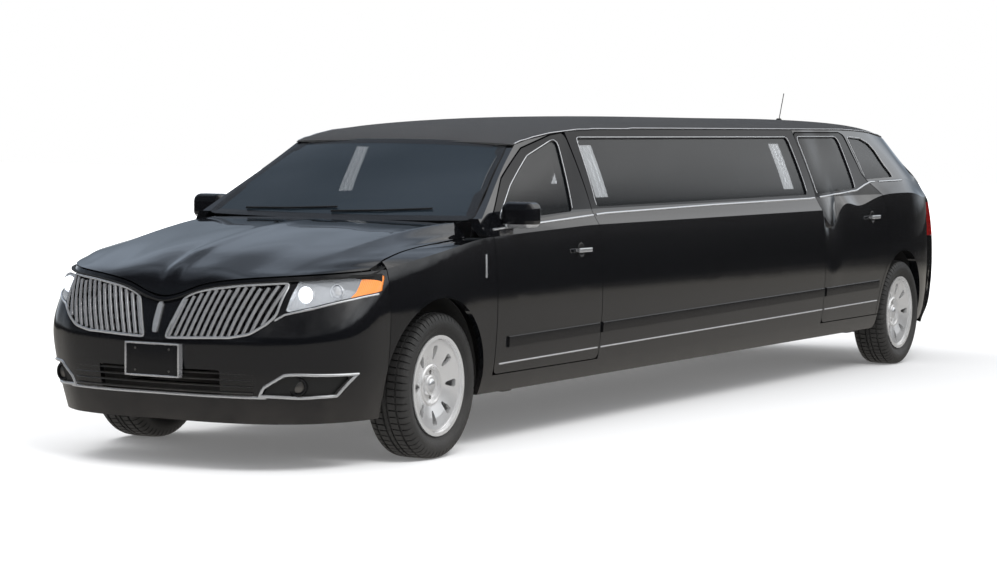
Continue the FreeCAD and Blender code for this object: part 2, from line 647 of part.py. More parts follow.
def make_hood():
    stations = [-s for s in reversed(HOOD_STATION_SHARES)] + list(HOOD_STATION_SHARES[1:])
    sections = [ring_wire([hood_section(s, 0.0)], [hood_section(s, HOOD_WALL)]) for s in stations]
    right = [V(x, y, 0) for x, y in hood_outline(SHUT_GAP)]
    left = [V(p.x, -p.y, 0) for p in reversed(right)]
    face = Part.Face(Part.makePolygon(right + left + right[:1]))
    return loft(sections).common(face.extrude(V(0, 0, RAIL)))


# The windscreen: bottom and top edges
SCREEN_FOOT_SETBACK = 462.0
SCREEN_HEAD_SETBACK = 1190.0
SCREEN_FOOT_HALF = 805.0
SCREEN_HEAD_HALF = 633.0
SCREEN_FOOT_Z = 1186.0
SCREEN_HEAD_Z = 1584.0
SCREEN_BOTTOM = (FRONT_AXLE_X - SCREEN_FOOT_SETBACK, SCREEN_FOOT_HALF, SCREEN_FOOT_Z)
SCREEN_TOP = (FRONT_AXLE_X - SCREEN_HEAD_SETBACK, SCREEN_HEAD_HALF, SCREEN_HEAD_Z)
SCREEN_BOW = 80.0
SCREEN_TOP_BOW = 18.0
SCREEN_RISE = 8.0
SCREEN_TOP_FALL = 16.0
SCREEN_BULGE = 14.0
SCREEN_GLASS = 6.0


def screen_ends(s):
    """The windscreen's lowest and highest point at a share across, and the way out of the glass."""
    x0, y0, z0 = SCREEN_BOTTOM
    x1, y1, z1 = SCREEN_TOP
    low = V(x0 - SCREEN_BOW * s * s, y0 * s, z0 + SCREEN_RISE * s * s)
    high = V(x1 - SCREEN_TOP_BOW * s * s, y1 * s, z1 - SCREEN_TOP_FALL * s * s)
    out = V(z1 - z0, 0, x0 - x1)
    out.normalize()
    return low, high, out


def screen_wire(s):
    bottom, top, out = screen_ends(s)
    outer = [bottom, (bottom + top) * 0.5 + out * SCREEN_BULGE, top]
    inner = [p - out * SCREEN_GLASS for p in outer]
    return ring_wire([outer], [inner])


def make_windscreen():
    return loft([screen_wire(s) for s in (-1.0, -0.8, -0.55, -0.28, 0.0, 0.28, 0.55, 0.8, 1.0)])


def ahead_of_screen():
    """Everything ahead of the windscreen's side edge, as a solid on the left side."""
    x0, y0, z0 = SCREEN_BOTTOM[0] - SCREEN_BOW, SCREEN_BOTTOM[1], SCREEN_BOTTOM[2] + SCREEN_RISE
    x1, y1, z1 = SCREEN_TOP[0] - SCREEN_TOP_BOW, SCREEN_TOP[1], SCREEN_TOP[2] - SCREEN_TOP_FALL
    ahead = FRONT_AXLE_X
    run = (z1 - z0) / (x1 - x0)
    back = x1 - OVERRUN
    outline = [V(ahead, 0, z0), V(x0, 0, z0), V(back, 0, z1 + run * (back - x1)), V(back, 0, RAIL + OVERRUN),
               V(ahead, 0, RAIL + OVERRUN)]
    face = Part.Face(Part.makePolygon(outline + outline[:1]))
    return face.extrude(V(0, PRISM_OUTSIDE, 0))


def wheel_arch(x, radius):
    """The space of a wheel arch on both sides, open below."""
    low = NOSE_BOTTOM - OVERRUN
    barrel = Part.makeCylinder(radius, 2 * PRISM_OUTSIDE, V(x, -PRISM_OUTSIDE, TYRE_RADIUS), V(0, 1, 0))
    foot = box(x - radius, x + radius, -PRISM_OUTSIDE, PRISM_OUTSIDE, low, TYRE_RADIUS)
    return barrel.fuse(foot)


def revolved(profile, y):
    """A ring about the wheel's axle from a profile of (across, radius)."""
    points = [V(0, a, r) for a, r in profile]
    face = Part.Face(Part.makePolygon(points + points[:1]))
    ring = face.revolve(V(0, 0, 0), V(0, 1, 0), 360)
    ring.translate(V(0, y, TYRE_RADIUS))
    return ring


# Wheels: profiles of half the section as shares of half the tyre's width and of its radius
TYRE_OUTER_SHARES = [(0.79, 0.649), (0.80, 0.705), (0.94, 0.775), (1.0, 0.845), (0.965, 0.905),
                     (0.87, 0.965), (0.70, 0.993), (0.35, 1.0)]
TYRE_INNER_SHARES = [(0.68, 0.6485), (0.68, 0.705), (0.83, 0.780), (0.88, 0.845), (0.84, 0.900),
                     (0.72, 0.945), (0.35, 0.962)]
RIM_SHARES = [(0.885, 0.690), (0.885, 0.640), (0.60, 0.625), (0.45, 0.575), (-0.45, 0.575),
              (-0.60, 0.625), (-0.885, 0.640), (-0.885, 0.690), (-0.82, 0.690), (-0.82, 0.648),
              (-0.60, 0.646), (-0.45, 0.600), (0.45, 0.600), (0.60, 0.646), (0.82, 0.648),
              (0.82, 0.690)]
DISC_SHARES = [(0.50, 0.0), (0.50, 0.12), (0.47, 0.135), (0.34, 0.14), (0.34, 0.225), (0.48, 0.235),
               (0.54, 0.25), (0.54, 0.27), (0.50, 0.29), (0.64, 0.45), (0.74, 0.60), (0.74, 0.63),
               (0.60, 0.63), (0.54, 0.58), (0.30, 0.28), (0.06, 0.24), (0.06, 0.0)]
SPOKE_COUNT = 8
BOLT_COUNT = 5
WINDOW_SHARES = [(0.35, 0.018), (0.50, 0.056), (0.545, 0.050), (0.545, -0.050), (0.50, -0.056),
                 (0.35, -0.018)]
BOLT_CIRCLE_SHARE = 0.182
BOLT_RADIUS = 11.0
CAP_RADIUS = 28.0
CAP_HEIGHT = 6.0
CORNER = 12.0


def make_tyre():
    half = TYRE_WIDTH / 2
    outer = [(half * a, TYRE_RADIUS * r) for a, r in TYRE_OUTER_SHARES]
    inner = [(half * a, TYRE_RADIUS * r) for a, r in TYRE_INNER_SHARES]
    profile = outer + [(-a, r) for a, r in reversed(outer)] + [(-a, r) for a, r in inner]
    profile += list(reversed(inner))
    return revolved(profile, WHEEL_Y)


def make_rim():
    half = TYRE_WIDTH / 2
    rim = revolved([(half * a, TYRE_RADIUS * r) for a, r in RIM_SHARES], WHEEL_Y)
    disc = revolved([(half * a, TYRE_RADIUS * r) for a, r in DISC_SHARES], WHEEL_Y)
    y0 = WHEEL_Y
    y1 = WHEEL_Y + TYRE_WIDTH
    cutters = []
    for i in range(SPOKE_COUNT):
        turn = 2 * math.pi * i / SPOKE_COUNT
        points = []
        for r, t in WINDOW_SHARES:
            radial, across = TYRE_RADIUS * r, TYRE_RADIUS * t
            points.append((radial * math.cos(turn) - across * math.sin(turn),
                           radial * math.sin(turn) + across * math.cos(turn) + TYRE_RADIUS))
        points = anticlockwise(points)
        wire = rounded_wire(points, CORNER, lambda u, v: V(u, y0, v))
        cutters.append(Part.Face(wire).extrude(V(0, y1 - y0, 0)))
    for i in range(BOLT_COUNT):
        turn = 2 * math.pi * (i + 0.5) / BOLT_COUNT
        r = TYRE_RADIUS * BOLT_CIRCLE_SHARE
        start = V(r * math.cos(turn), y0 + TYRE_WIDTH * 0.1, TYRE_RADIUS + r * math.sin(turn))
        cutters.append(Part.makeCylinder(BOLT_RADIUS, TYRE_WIDTH, start, V(0, 1, 0)))
    cap_y = WHEEL_Y + half * DISC_SHARES[0][0]
    cap = Part.makeCylinder(CAP_RADIUS, CAP_HEIGHT, V(0, cap_y, TYRE_RADIUS), V(0, 1, 0))
    return rim.fuse(disc).cut(Part.makeCompound(cutters)).fuse(cap)


# Steering knuckles and rear carriers
KINGPIN_Y = 750.0
FLANGE_RADIUS = 62.0
FLANGE_WALL = 14.0
UPRIGHT_WALL = 34.0
UPRIGHT_DEPTH = 90.0
UPRIGHT_HEIGHT = 300.0
ARM_LENGTH = 130.0
ARM_WALL = 22.0
ARM_INNER_Y = 330.0
ARM_SPREAD = 150.0
ARM_LOW = 240.0
BUSH = 2.0
HUB_FACE_Y = WHEEL_Y + TYRE_WIDTH / 2 * 0.06


def make_knuckle(x, arm):
    back = HUB_FACE_Y - SEAT_GAP
    flange = Part.makeCylinder(FLANGE_RADIUS, FLANGE_WALL, V(x, back - FLANGE_WALL, TYRE_RADIUS), V(0, 1, 0))
    stub = Part.makeCylinder(FLANGE_RADIUS / 2, back - KINGPIN_Y, V(x, KINGPIN_Y, TYRE_RADIUS), V(0, 1, 0))
    upright = box(x - UPRIGHT_DEPTH / 2, x + UPRIGHT_DEPTH / 2, KINGPIN_Y - UPRIGHT_WALL / 2,
                  KINGPIN_Y + UPRIGHT_WALL / 2, ARM_LOW + SEAT_GAP,
                  TYRE_RADIUS + UPRIGHT_HEIGHT / 2)
    shape = flange.fuse(stub).fuse(upright)
    if arm:
        lever = box(x - ARM_LENGTH, x, KINGPIN_Y - UPRIGHT_WALL / 2, KINGPIN_Y + UPRIGHT_WALL / 2,
                    TYRE_RADIUS - ARM_WALL / 2, TYRE_RADIUS + ARM_WALL / 2)
        shape = shape.fuse(lever)
    return shape


def make_lower_arm(x, z0, z1):
    """A wishbone in plan, wide at the subframe and narrow at the knuckle."""
    tip = UPRIGHT_DEPTH / 2
    points = [V(x - ARM_SPREAD, ARM_INNER_Y, z0), V(x + ARM_SPREAD, ARM_INNER_Y, z0),
              V(x + tip, KINGPIN_Y + UPRIGHT_WALL / 2, z0), V(x - tip, KINGPIN_Y + UPRIGHT_WALL / 2, z0)]
    return Part.Face(Part.makePolygon(points + points[:1])).extrude(V(0, 0, z1 - z0))


# The parts below the body
FLOOR_Z = 300.0
FLOOR_WALL = 25.0
INNER_HALF = HALF_WIDTH * 0.88
HOUSE_INNER_Y = 480.0
HOUSE_WALL = 6.0
HOUSE_GAP = 8.0
FIREWALL_SETBACK = 25.0
FIREWALL_X = FRONT_DOOR_X - FIREWALL_SETBACK
FIREWALL_TOP = 1080.0
COWL_DEPTH = 40.0
REAR_WALL_X = REAR_AXLE_X - REAR_OVERHANG * 0.55
BEAM = 90.0
SHAFT_RADIUS = 22.0
TAIL_FLOOR_SHARE = 0.88
FRAME_BEAM_Y = 380.0
FRAME_FRONT = FRONT_AXLE_X + FRONT_OVERHANG * 0.72
PAD_LENGTH = 90.0
PAD_WIDTH = 50.0
PAD_HEIGHT = 8.0


def make_wheelhouse(x):
    """A liner over a wheel: the barrel and its inner wall, on the left side."""
    outer_y = HALF_WIDTH * 0.925
    width = outer_y - HOUSE_INNER_Y
    radius = ARCH_RADIUS + HOUSE_GAP
    big = Part.makeCylinder(radius + HOUSE_WALL, width, V(x, HOUSE_INNER_Y, TYRE_RADIUS), V(0, 1, 0))
    small = Part.makeCylinder(radius, width, V(x, HOUSE_INNER_Y + HOUSE_WALL, TYRE_RADIUS), V(0, 1, 0))
    below = box(x - 2 * radius, x + 2 * radius, 0, HALF_WIDTH + OVERRUN, -radius, FLOOR_Z)
    return big.cut(small).cut(below)


def make_underbody():
    floor = box(REAR_WALL_X, FIREWALL_X, -INNER_HALF, INNER_HALF, FLOOR_Z, FLOOR_Z + FLOOR_WALL)
    for x in (FRONT_AXLE_X, REAR_AXLE_X):
        space = Part.makeCylinder(ARCH_RADIUS + HOUSE_GAP, 2 * INNER_HALF,
                                  V(x, HOUSE_INNER_Y, TYRE_RADIUS), V(0, 1, 0))
        floor = floor.cut(space).cut(mirrored(space))
    tail_half = INNER_HALF * TAIL_FLOOR_SHARE
    beside = box(REAR_WALL_X, REAR_AXLE_X - ARCH_RADIUS, tail_half, HALF_WIDTH, 0, RAIL)
    floor = floor.cut(beside).cut(mirrored(beside))
    shaft_end = V(REAR_AXLE_X, INNER_HALF, TYRE_RADIUS)
    shaft_hole = tube(V(REAR_AXLE_X, 0, TYRE_RADIUS), shaft_end, SHAFT_RADIUS + SHUT_GAP)
    house = make_wheelhouse(REAR_AXLE_X).cut(rear_side(0, FRAME_WALL + CLEAR_GAP)).cut(shaft_hole)
    floor = floor.fuse(house).fuse(mirrored(house))
    wall = box(FIREWALL_X, FIREWALL_X + FLOOR_WALL, -INNER_HALF, INNER_HALF, FLOOR_Z, FIREWALL_TOP)
    shelf = box(FIREWALL_X, FIREWALL_X + COWL_DEPTH, -INNER_HALF * 0.9, INNER_HALF * 0.9,
                FIREWALL_TOP - FLOOR_WALL, FIREWALL_TOP)
    half = INNER_HALF * 0.8
    back = box(REAR_WALL_X, REAR_WALL_X + FLOOR_WALL, -half, half, FLOOR_Z, FLOOR_Z * 2)
    tunnel = box(REAR_AXLE_X, FIREWALL_X, -BEAM, BEAM, FLOOR_Z - BEAM / 2, FLOOR_Z)
    return floor.fuse(wall).fuse(shelf).fuse(back).fuse(tunnel)


def make_front_liners():
    house = make_wheelhouse(FRONT_AXLE_X)
    ahead = FIREWALL_X + FLOOR_WALL + SEAT_GAP
    firewall = box(FIREWALL_X - OVERRUN, ahead, 0, HALF_WIDTH + OVERRUN, 0, RAIL)
    nose = make_nose(0, PANEL + FRAME_PROUD * 2 + CLEAR_GAP)
    house = house.cut(firewall).cut(make_fender(CLEAR_GAP)).cut(nose)
    return max(house.Solids, key=lambda solid: solid.Volume)


def make_front_subframe():
    rear_end = FIREWALL_X + FLOOR_WALL + SEAT_GAP
    rail = box(rear_end, FRAME_FRONT, FRAME_BEAM_Y - BEAM / 2, FRAME_BEAM_Y + BEAM / 2,
               FLOOR_Z, FLOOR_Z + BEAM)
    cross = box(FRAME_FRONT - BEAM, FRAME_FRONT, -FRAME_BEAM_Y, FRAME_BEAM_Y, FLOOR_Z, FLOOR_Z + BEAM)
    middle = box(FRONT_AXLE_X - BEAM, FRONT_AXLE_X + BEAM, -FRAME_BEAM_Y, FRAME_BEAM_Y,
                 ARM_LOW, FLOOR_Z + BEAM / 2)
    arm = make_lower_arm(FRONT_AXLE_X, ARM_LOW - ARM_WALL, ARM_LOW)
    arm = arm.fuse(box(FRONT_AXLE_X - BEAM, FRONT_AXLE_X + BEAM, ARM_INNER_Y, ARM_INNER_Y + BEAM,
                       ARM_LOW - ARM_WALL, FLOOR_Z + BEAM / 2))
    shape = cross.fuse(middle)
    for piece in (rail, arm):
        shape = shape.fuse(piece).fuse(mirrored(piece))
    return shape


def make_rear_subframe():
    x = REAR_AXLE_X
    carrier = make_knuckle(x, False)
    arm = make_lower_arm(x, ARM_LOW - ARM_WALL, ARM_LOW + ARM_WALL)
    top = FLOOR_Z - BEAM / 2 - SEAT_GAP
    inner = box(x - ARM_SPREAD, x + ARM_SPREAD, 0, ARM_INNER_Y + BEAM, ARM_LOW - ARM_WALL, top)
    half = carrier.fuse(arm).fuse(inner)
    shaft = tube(V(x, 0, TYRE_RADIUS), V(x, KINGPIN_Y, TYRE_RADIUS), SHAFT_RADIUS)
    return half.fuse(mirrored(half)), shaft


ENGINE_LENGTH = 620.0
ENGINE_WIDTH = 440.0
ENGINE_TOP = 880.0
ENGINE_BOTTOM = FLOOR_Z + BEAM / 2 + SEAT_GAP
HEAD_WIDTH = 170.0


def make_engine():
    x0 = FRONT_AXLE_X - ENGINE_LENGTH * 0.55
    x1 = x0 + ENGINE_LENGTH
    low = box(x0, x1, -ENGINE_WIDTH / 4, ENGINE_WIDTH / 4, ENGINE_BOTTOM, ENGINE_BOTTOM + HEAD_WIDTH)
    middle = box(x0, x1, -ENGINE_WIDTH / 2, ENGINE_WIDTH / 2, ENGINE_BOTTOM + HEAD_WIDTH / 2,
                 ENGINE_TOP - HEAD_WIDTH)
    head = box(x0, x1, ENGINE_WIDTH / 2 - HEAD_WIDTH, ENGINE_WIDTH / 2, ENGINE_TOP - HEAD_WIDTH, ENGINE_TOP)
    low_head = ENGINE_TOP - HEAD_WIDTH
    cover = box(x0, x1, -HEAD_WIDTH / 2, HEAD_WIDTH / 2, low_head, low_head + HEAD_WIDTH / 2)
    shape = low.fuse(middle).fuse(head).fuse(mirrored(head)).fuse(cover)
    return shape


EXHAUST_Y = 230.0
EXHAUST_Z = 234.0
PIPE_RADIUS = 30.0
SILENCER_RADIUS = 60.0
SILENCER_LENGTH = 620.0
HANGER_WIDTH = 24.0
HANGER_SETBACKS = (900.0, 2600.0)


def make_exhaust():
    front = FIREWALL_X - PAD_LENGTH
    back = REAR_AXLE_X - REAR_OVERHANG * 0.78
    under = V(REAR_AXLE_X + ARCH_RADIUS, EXHAUST_Y, EXHAUST_Z)
    pipe = tube(V(front, EXHAUST_Y, EXHAUST_Z), under, PIPE_RADIUS)
    first = V(REAR_DOOR_X + SILENCER_LENGTH, EXHAUST_Y, EXHAUST_Z)
    silencer = tube(first, first - V(SILENCER_LENGTH, 0, 0), SILENCER_RADIUS)
    behind = V(REAR_AXLE_X - ARCH_RADIUS, EXHAUST_Y, EXHAUST_Z)
    dip = V(0, 0, ARM_LOW - ARM_WALL - PIPE_RADIUS - SHUT_GAP - EXHAUST_Z)
    low0 = V(REAR_AXLE_X + ARM_SPREAD + PIPE_RADIUS, EXHAUST_Y, EXHAUST_Z) + dip
    low1 = V(REAR_AXLE_X - ARM_SPREAD - PIPE_RADIUS, EXHAUST_Y, EXHAUST_Z) + dip
    joints = [under, low0, low1, behind, V(back, EXHAUST_Y * 2, EXHAUST_Z)]
    shape = pipe.fuse(silencer)
    for a, b in zip(joints, joints[1:]):
        shape = shape.fuse(tube(a, b, PIPE_RADIUS)).fuse(Part.makeSphere(PIPE_RADIUS, b))
    shape = shape.fuse(Part.makeSphere(PIPE_RADIUS, under))
    half = HANGER_WIDTH / 2
    for x in [front - setback for setback in HANGER_SETBACKS] + [first.x - SILENCER_LENGTH / 2]:
        hanger = box(x - half, x + half, EXHAUST_Y - half, EXHAUST_Y + half, EXHAUST_Z, FLOOR_Z - SEAT_GAP)
        shape = shape.fuse(hanger)
    return shape


# Inside the car
DASH_LENGTH = 330.0
DASH_TOP = 1085.0
DASH_BOTTOM = 760.0
DASH_HALF = 790.0
DASH_SHARES = [(0.0, 0.0), (0.0, 0.885), (0.5, 1.0), (1.0, 0.846), (0.95, 0.538), (0.6, 0.0)]
DRIVER_Y = -380.0
WHEEL_RING = 185.0
WHEEL_TUBE = 15.0
STEER_SETBACK = 480.0
STEER_X = FRONT_DOOR_X - STEER_SETBACK
STEER_Z = 960.0
STEER_LEAN = 24.0
COLUMN_RADIUS = 38.0
SEAT_WIDTH = 520.0
SEAT_DEPTH = 520.0
SEAT_CUSHION = 150.0
SEAT_HEIGHT = 480.0
BACK_HEIGHT = 640.0
BACK_WALL = 130.0
BACK_LEAN = 0.32
HEAD_SIZE = (70.0, 250.0, 170.0)
BENCH_DEPTH = 480.0
BENCH_HEIGHT = 250.0
BENCH_BACK = 110.0
BENCH_TOP = 1130.0
CABINET_DEPTH = 260.0
CABINET_TOP = 980.0
CABIN_TRIM = 40.0
CABIN_HALF = INNER_HALF - CABIN_TRIM


def leaning_block(x, y0, y1, z0, z1, wall, lean):
    """A seat back: a block that leans rearward as it rises."""
    shift = (z1 - z0) * lean
    points = [V(x, y0, z0), V(x - wall, y0, z0), V(x - wall - shift, y0, z1),
              V(x - wall * 0.6 - shift, y0, z1), V(x - shift * 0.9, y0, z1 - wall * 0.4)]
    return Part.Face(Part.makePolygon(points + points[:1])).extrude(V(0, y1 - y0, 0))


def make_dashboard():
    x0 = FIREWALL_X - SHUT_GAP
    outline = [(x0 - DASH_LENGTH * u, DASH_BOTTOM + (DASH_TOP - DASH_BOTTOM) * v) for u, v in DASH_SHARES]
    wire = rounded_wire(anticlockwise(outline), CORNER, lambda u, v: V(u, -DASH_HALF, v))
    shape = Part.Face(wire).extrude(V(0, 2 * DASH_HALF, 0))
    lean = math.radians(STEER_LEAN)
    centre = V(STEER_X, DRIVER_Y, STEER_Z)
    away = V(math.cos(lean), 0, -math.sin(lean))
    column = tube(centre + away * (WHEEL_TUBE * 2 + SEAT_GAP), centre + away * DASH_LENGTH, COLUMN_RADIUS)
    base = FLOOR_Z + FLOOR_WALL + SEAT_GAP
    console = box(x0 - DASH_LENGTH * 2.6, x0 - DASH_LENGTH * 0.3, -BEAM, BEAM, base, DASH_BOTTOM)
    return shape.fuse(column).fuse(console)


def make_steering_wheel():
    lean = math.radians(STEER_LEAN)
    centre = V(STEER_X, DRIVER_Y, STEER_Z)
    toward = V(-math.cos(lean), 0, math.sin(lean))
    ring = Part.makeTorus(WHEEL_RING, WHEEL_TUBE, centre, toward)
    hub = tube(centre - toward * WHEEL_TUBE * 2, centre + toward * WHEEL_TUBE, COLUMN_RADIUS * 1.5)
    up = V(math.sin(lean), 0, math.cos(lean))
    across = V(0, 1, 0)
    shape = ring.fuse(hub)
    for way in (across, across * -1, up * -1):
        shape = shape.fuse(tube(centre, centre + way * WHEEL_RING, WHEEL_TUBE * 0.8))
    return shape


def make_seats():
    """Two front seats, a bench along the right side and one across the back."""
    base = FLOOR_Z + FLOOR_WALL + SEAT_GAP
    solids = []
    front = STEER_X - WHEEL_RING * 0.3
    for y in (DRIVER_Y, -DRIVER_Y):
        y0, y1 = y - SEAT_WIDTH / 2, y + SEAT_WIDTH / 2
        cushion = box(front - SEAT_DEPTH, front, y0, y1, SEAT_HEIGHT, SEAT_HEIGHT + SEAT_CUSHION)
        cushion = cushion.makeFillet(CORNER * 3, cushion.Edges)
        foot_back, foot_front = front - SEAT_DEPTH * 0.85, front - SEAT_DEPTH * 0.2
        foot = box(foot_back, foot_front, y0 + BEAM, y1 - BEAM, base, SEAT_HEIGHT + CORNER)
        x = front - SEAT_DEPTH * 0.86
        top = SEAT_HEIGHT + BACK_HEIGHT
        back = leaning_block(x, y0, y1, SEAT_HEIGHT + CORNER, top, BACK_WALL, BACK_LEAN)
        hx = x - BACK_HEIGHT * BACK_LEAN - BACK_WALL * 0.75
        hz = SEAT_HEIGHT + BACK_HEIGHT
        head = box(hx - HEAD_SIZE[0] / 2, hx + HEAD_SIZE[0] / 2, y - HEAD_SIZE[1] / 2, y + HEAD_SIZE[1] / 2,
                   hz + CORNER * 2, hz + HEAD_SIZE[2])
        head = head.makeFillet(CORNER * 1.5, head.Edges)
        post = tube(V(hx, y, hz - CORNER * 2), V(hx, y, hz + CORNER * 4), CORNER)
        solids.append(cushion.fuse(foot).fuse(back).fuse(head).fuse(post))
    side_x0 = REAR_DOOR_X + BENCH_DEPTH * 0.2
    side_x1 = B_POST_X - BENCH_DEPTH
    side = box(side_x0, side_x1, -CABIN_HALF, -CABIN_HALF + BENCH_DEPTH, base, base + BENCH_HEIGHT)
    wall = box(side_x0, side_x1, -CABIN_HALF, -CABIN_HALF + BENCH_BACK, base, BENCH_TOP)
    solids.append(side.fuse(wall))
    rear_x = REAR_AXLE_X + ARCH_RADIUS + OVERRUN
    half = CABIN_HALF * 0.95
    rear = box(rear_x, rear_x + SEAT_DEPTH, -half, half, base, SEAT_HEIGHT + SEAT_CUSHION)
    back = leaning_block(rear_x + BACK_WALL * 1.5, -half, half, SEAT_HEIGHT, BENCH_TOP, BACK_WALL, BACK_LEAN)
    solids.append(rear.fuse(back))
    cab_x0 = REAR_DOOR_X + BENCH_DEPTH
    cabinet = box(cab_x0, B_POST_X - BENCH_DEPTH, CABIN_HALF - CABINET_DEPTH, CABIN_HALF, base, CABINET_TOP)
    solids.append(cabinet)
    return solids


# Openings in the nose, as outlines across (share of the half width) and up (share of the height)
WING_SHARES = [(0.058, 0.370), (0.43, 0.3755), (0.532, 0.388), (0.61, 0.418), (0.644, 0.4425),
               (0.660, 0.531), (0.42, 0.522), (0.28, 0.512), (0.19, 0.499), (0.128, 0.482)]
LAMP_SHARES = [(0.668, 0.449), (0.769, 0.465), (0.883, 0.489), (0.928, 0.500), (0.916, 0.547), (0.85, 0.545),
               (0.682, 0.537)]
MOUTH_SHARES = [(-0.36, 0.219), (0.36, 0.219), (0.365, 0.287), (-0.365, 0.287)]
FOG_SHARES = [(0.567, 0.2195), (0.834, 0.2185), (0.892, 0.273), (0.684, 0.2735), (0.595, 0.243)]
GRILLE_DEPTH = 45.0
NET_SET_BACK = 34.0
NET_WALL = 5.0
BAR_SET_BACK = 2.0
BAR_DEPTH = 31.0
BAR_PITCH = 17.0
BAR_WALL = 6.0
FRAME_RIM = 11.0
FRAME_PROUD = 6.0
BLADE_HALF = 16.0
BLADE_SHARES = [(0.7, 0.385), (1.0, 0.41), (0.9, 0.462), (0.0, 0.474)]
BAR_COUNT = 3
WING_TIP_ROW = 4


def nose_prism(rows, distance, corner):
    points = anticlockwise([(HALF_WIDTH * y, ROOF_HEIGHT * z) for y, z in rows])
    points = offset_outline(points, distance)
    back = FRONT_AXLE_X
    ahead = FRONT_AXLE_X + FRONT_OVERHANG + OVERRUN
    return front_prism(points, corner, back, ahead)


def wing_span(y):
    """Lowest and highest point of a wing's opening at a place across."""
    points = [(HALF_WIDTH * a, ROOF_HEIGHT * b) for a, b in WING_SHARES]
    heights = []
    for (ay, az), (by, bz) in zip(points, points[1:] + points[:1]):
        if min(ay, by) <= y < max(ay, by):
            heights.append(between(az, bz, (y - ay) / (by - ay)))
    return min(heights), max(heights)


def grille_bar(y):
    """One upright bar that leans and bows as the nose does."""
    spans = [wing_span(y + side * BAR_WALL / 2) for side in (-1, 1)]
    low = max(span[0] for span in spans) + FRAME_RIM / 2
    high = min(span[1] for span in spans) - FRAME_RIM / 2
    heights = [between(low, high, share) for share in (0.0, 0.25, 0.5, 0.75, 1.0)]
    front = [V(nose_x(y, z) - BAR_SET_BACK, y - BAR_WALL / 2, z) for z in heights]
    back = [p - V(BAR_DEPTH, 0, 0) for p in front]
    return Part.Face(ring_wire([front], [back])).extrude(V(0, BAR_WALL, 0))


def make_grille():
    """A wing of upright bars in a frame, a dark sheet behind it, and the plain blade between the wings."""
    hole = nose_prism(WING_SHARES, -SEAT_GAP, CORNER)
    inside = nose_prism(WING_SHARES, -SEAT_GAP - FRAME_RIM, CORNER)
    wing = make_nose(-FRAME_PROUD, GRILLE_DEPTH).common(hole).cut(inside)
    behind = nose_prism(WING_SHARES, -2 * SEAT_GAP - FRAME_RIM, CORNER)
    net = make_nose(NET_SET_BACK, NET_WALL).common(behind)
    low = HALF_WIDTH * WING_SHARES[0][0]
    high = HALF_WIDTH * WING_SHARES[WING_TIP_ROW][0]
    count = round((high - low) / BAR_PITCH)
    bars = [grille_bar(between(low, high, (i + 0.5) / count)) for i in range(1, count)]
    wing = wing.fuse(bars)
    back = FRONT_AXLE_X
    ahead = FRONT_AXLE_X + FRONT_OVERHANG + OVERRUN
    points = [(BLADE_HALF * y, ROOF_HEIGHT * z) for y, z in BLADE_SHARES]
    points = points + [(-y, z) for y, z in reversed(points[:-1])]
    points = anticlockwise(points)
    blade = make_nose(-FRAME_PROUD * 2, FRAME_PROUD * 2 + PANEL / 2)
    blade = blade.common(front_prism(points, FRAME_RIM / 2, back, ahead))
    room = front_prism(offset_outline(points, SEAT_GAP), FRAME_RIM / 2, back, ahead)
    room = make_nose(-FRAME_PROUD, FRAME_PROUD + PANEL / 2 + CLEAR_GAP).common(room)
    return wing, net, blade, room


def lamp_unit(rows, gap, inset):
    """A lamp set in its opening: a clear front and a closed back."""
    return make_nose(inset, PANEL).common(nose_prism(rows, -gap, CORNER))


# Tail lamps, tailgate and rear glass in rear view
TAILGATE_SHARES = [(-0.60, 0.395), (0.60, 0.395), (0.655, 0.66), (0.575, 0.80), (0.486, 0.924),
                   (-0.486, 0.924), (-0.575, 0.80), (-0.655, 0.66)]
REAR_WINDOW_SHARES = [(-0.56, 0.70), (0.56, 0.70), (0.43, 0.885), (-0.43, 0.885)]
TAIL_LAMP_SHARES = [(0.69, 0.50), (0.99, 0.52), (0.99, 0.655), (0.69, 0.655)]
BUMPER_TOP_SHARE = 0.385


def tail_prism(rows, distance, corner):
    points = anticlockwise([(HALF_WIDTH * y, ROOF_HEIGHT * z) for y, z in rows])
    points = offset_outline(points, distance)
    return front_prism(points, corner, REAR_AXLE_X - REAR_OVERHANG - OVERRUN, REAR_AXLE_X)


AERIAL_HEIGHT = 205.0
AERIAL_LEAN = 85.0
AERIAL_RADIUS = 3.0
AERIAL_LEAD = 20.0
AERIAL_X = REAR_AXLE_X + AERIAL_LEAD


def make_aerial(roof_z):
    foot = V(AERIAL_X, 0, roof_z)
    mast = tube(foot, foot + V(-AERIAL_LEAN, 0, AERIAL_HEIGHT - SHUT_GAP), AERIAL_RADIUS)
    base = Part.makeCone(CAP_RADIUS, CAP_RADIUS / 2, CAP_HEIGHT * 3, V(AERIAL_X, 0, roof_z))
    return mast.fuse(base)


# Handles, mirrors, mouldings and bars on the sides
HINGE_SHARES = (0.13, 0.42)
HINGE_HEIGHT = 70.0
HINGE_LENGTH = 40.0
HINGE_WALL = 16.0
HANDLE_LENGTH = 152.0
HANDLE_HEIGHT = 24.0
HANDLE_PROUD = 34.0
HANDLE_WALL = 14.0
HANDLE_SHARES = ((0.799, 0.576), (0.782, 0.614))
HANDLE_FRONT = (FRONT_DOOR_X - FRONT_DOOR_LENGTH * HANDLE_SHARES[0][0], ROOF_HEIGHT * HANDLE_SHARES[0][1])
HANDLE_REAR = (REAR_DOOR_X - REAR_DOOR_LENGTH * HANDLE_SHARES[1][0], ROOF_HEIGHT * HANDLE_SHARES[1][1])
MIRROR_SETBACK = 780.0
MIRROR_Y = 985.0
MIRROR_Z = 1211.0
MIRROR_CENTRE = (FRONT_AXLE_X - MIRROR_SETBACK, MIRROR_Y, MIRROR_Z)
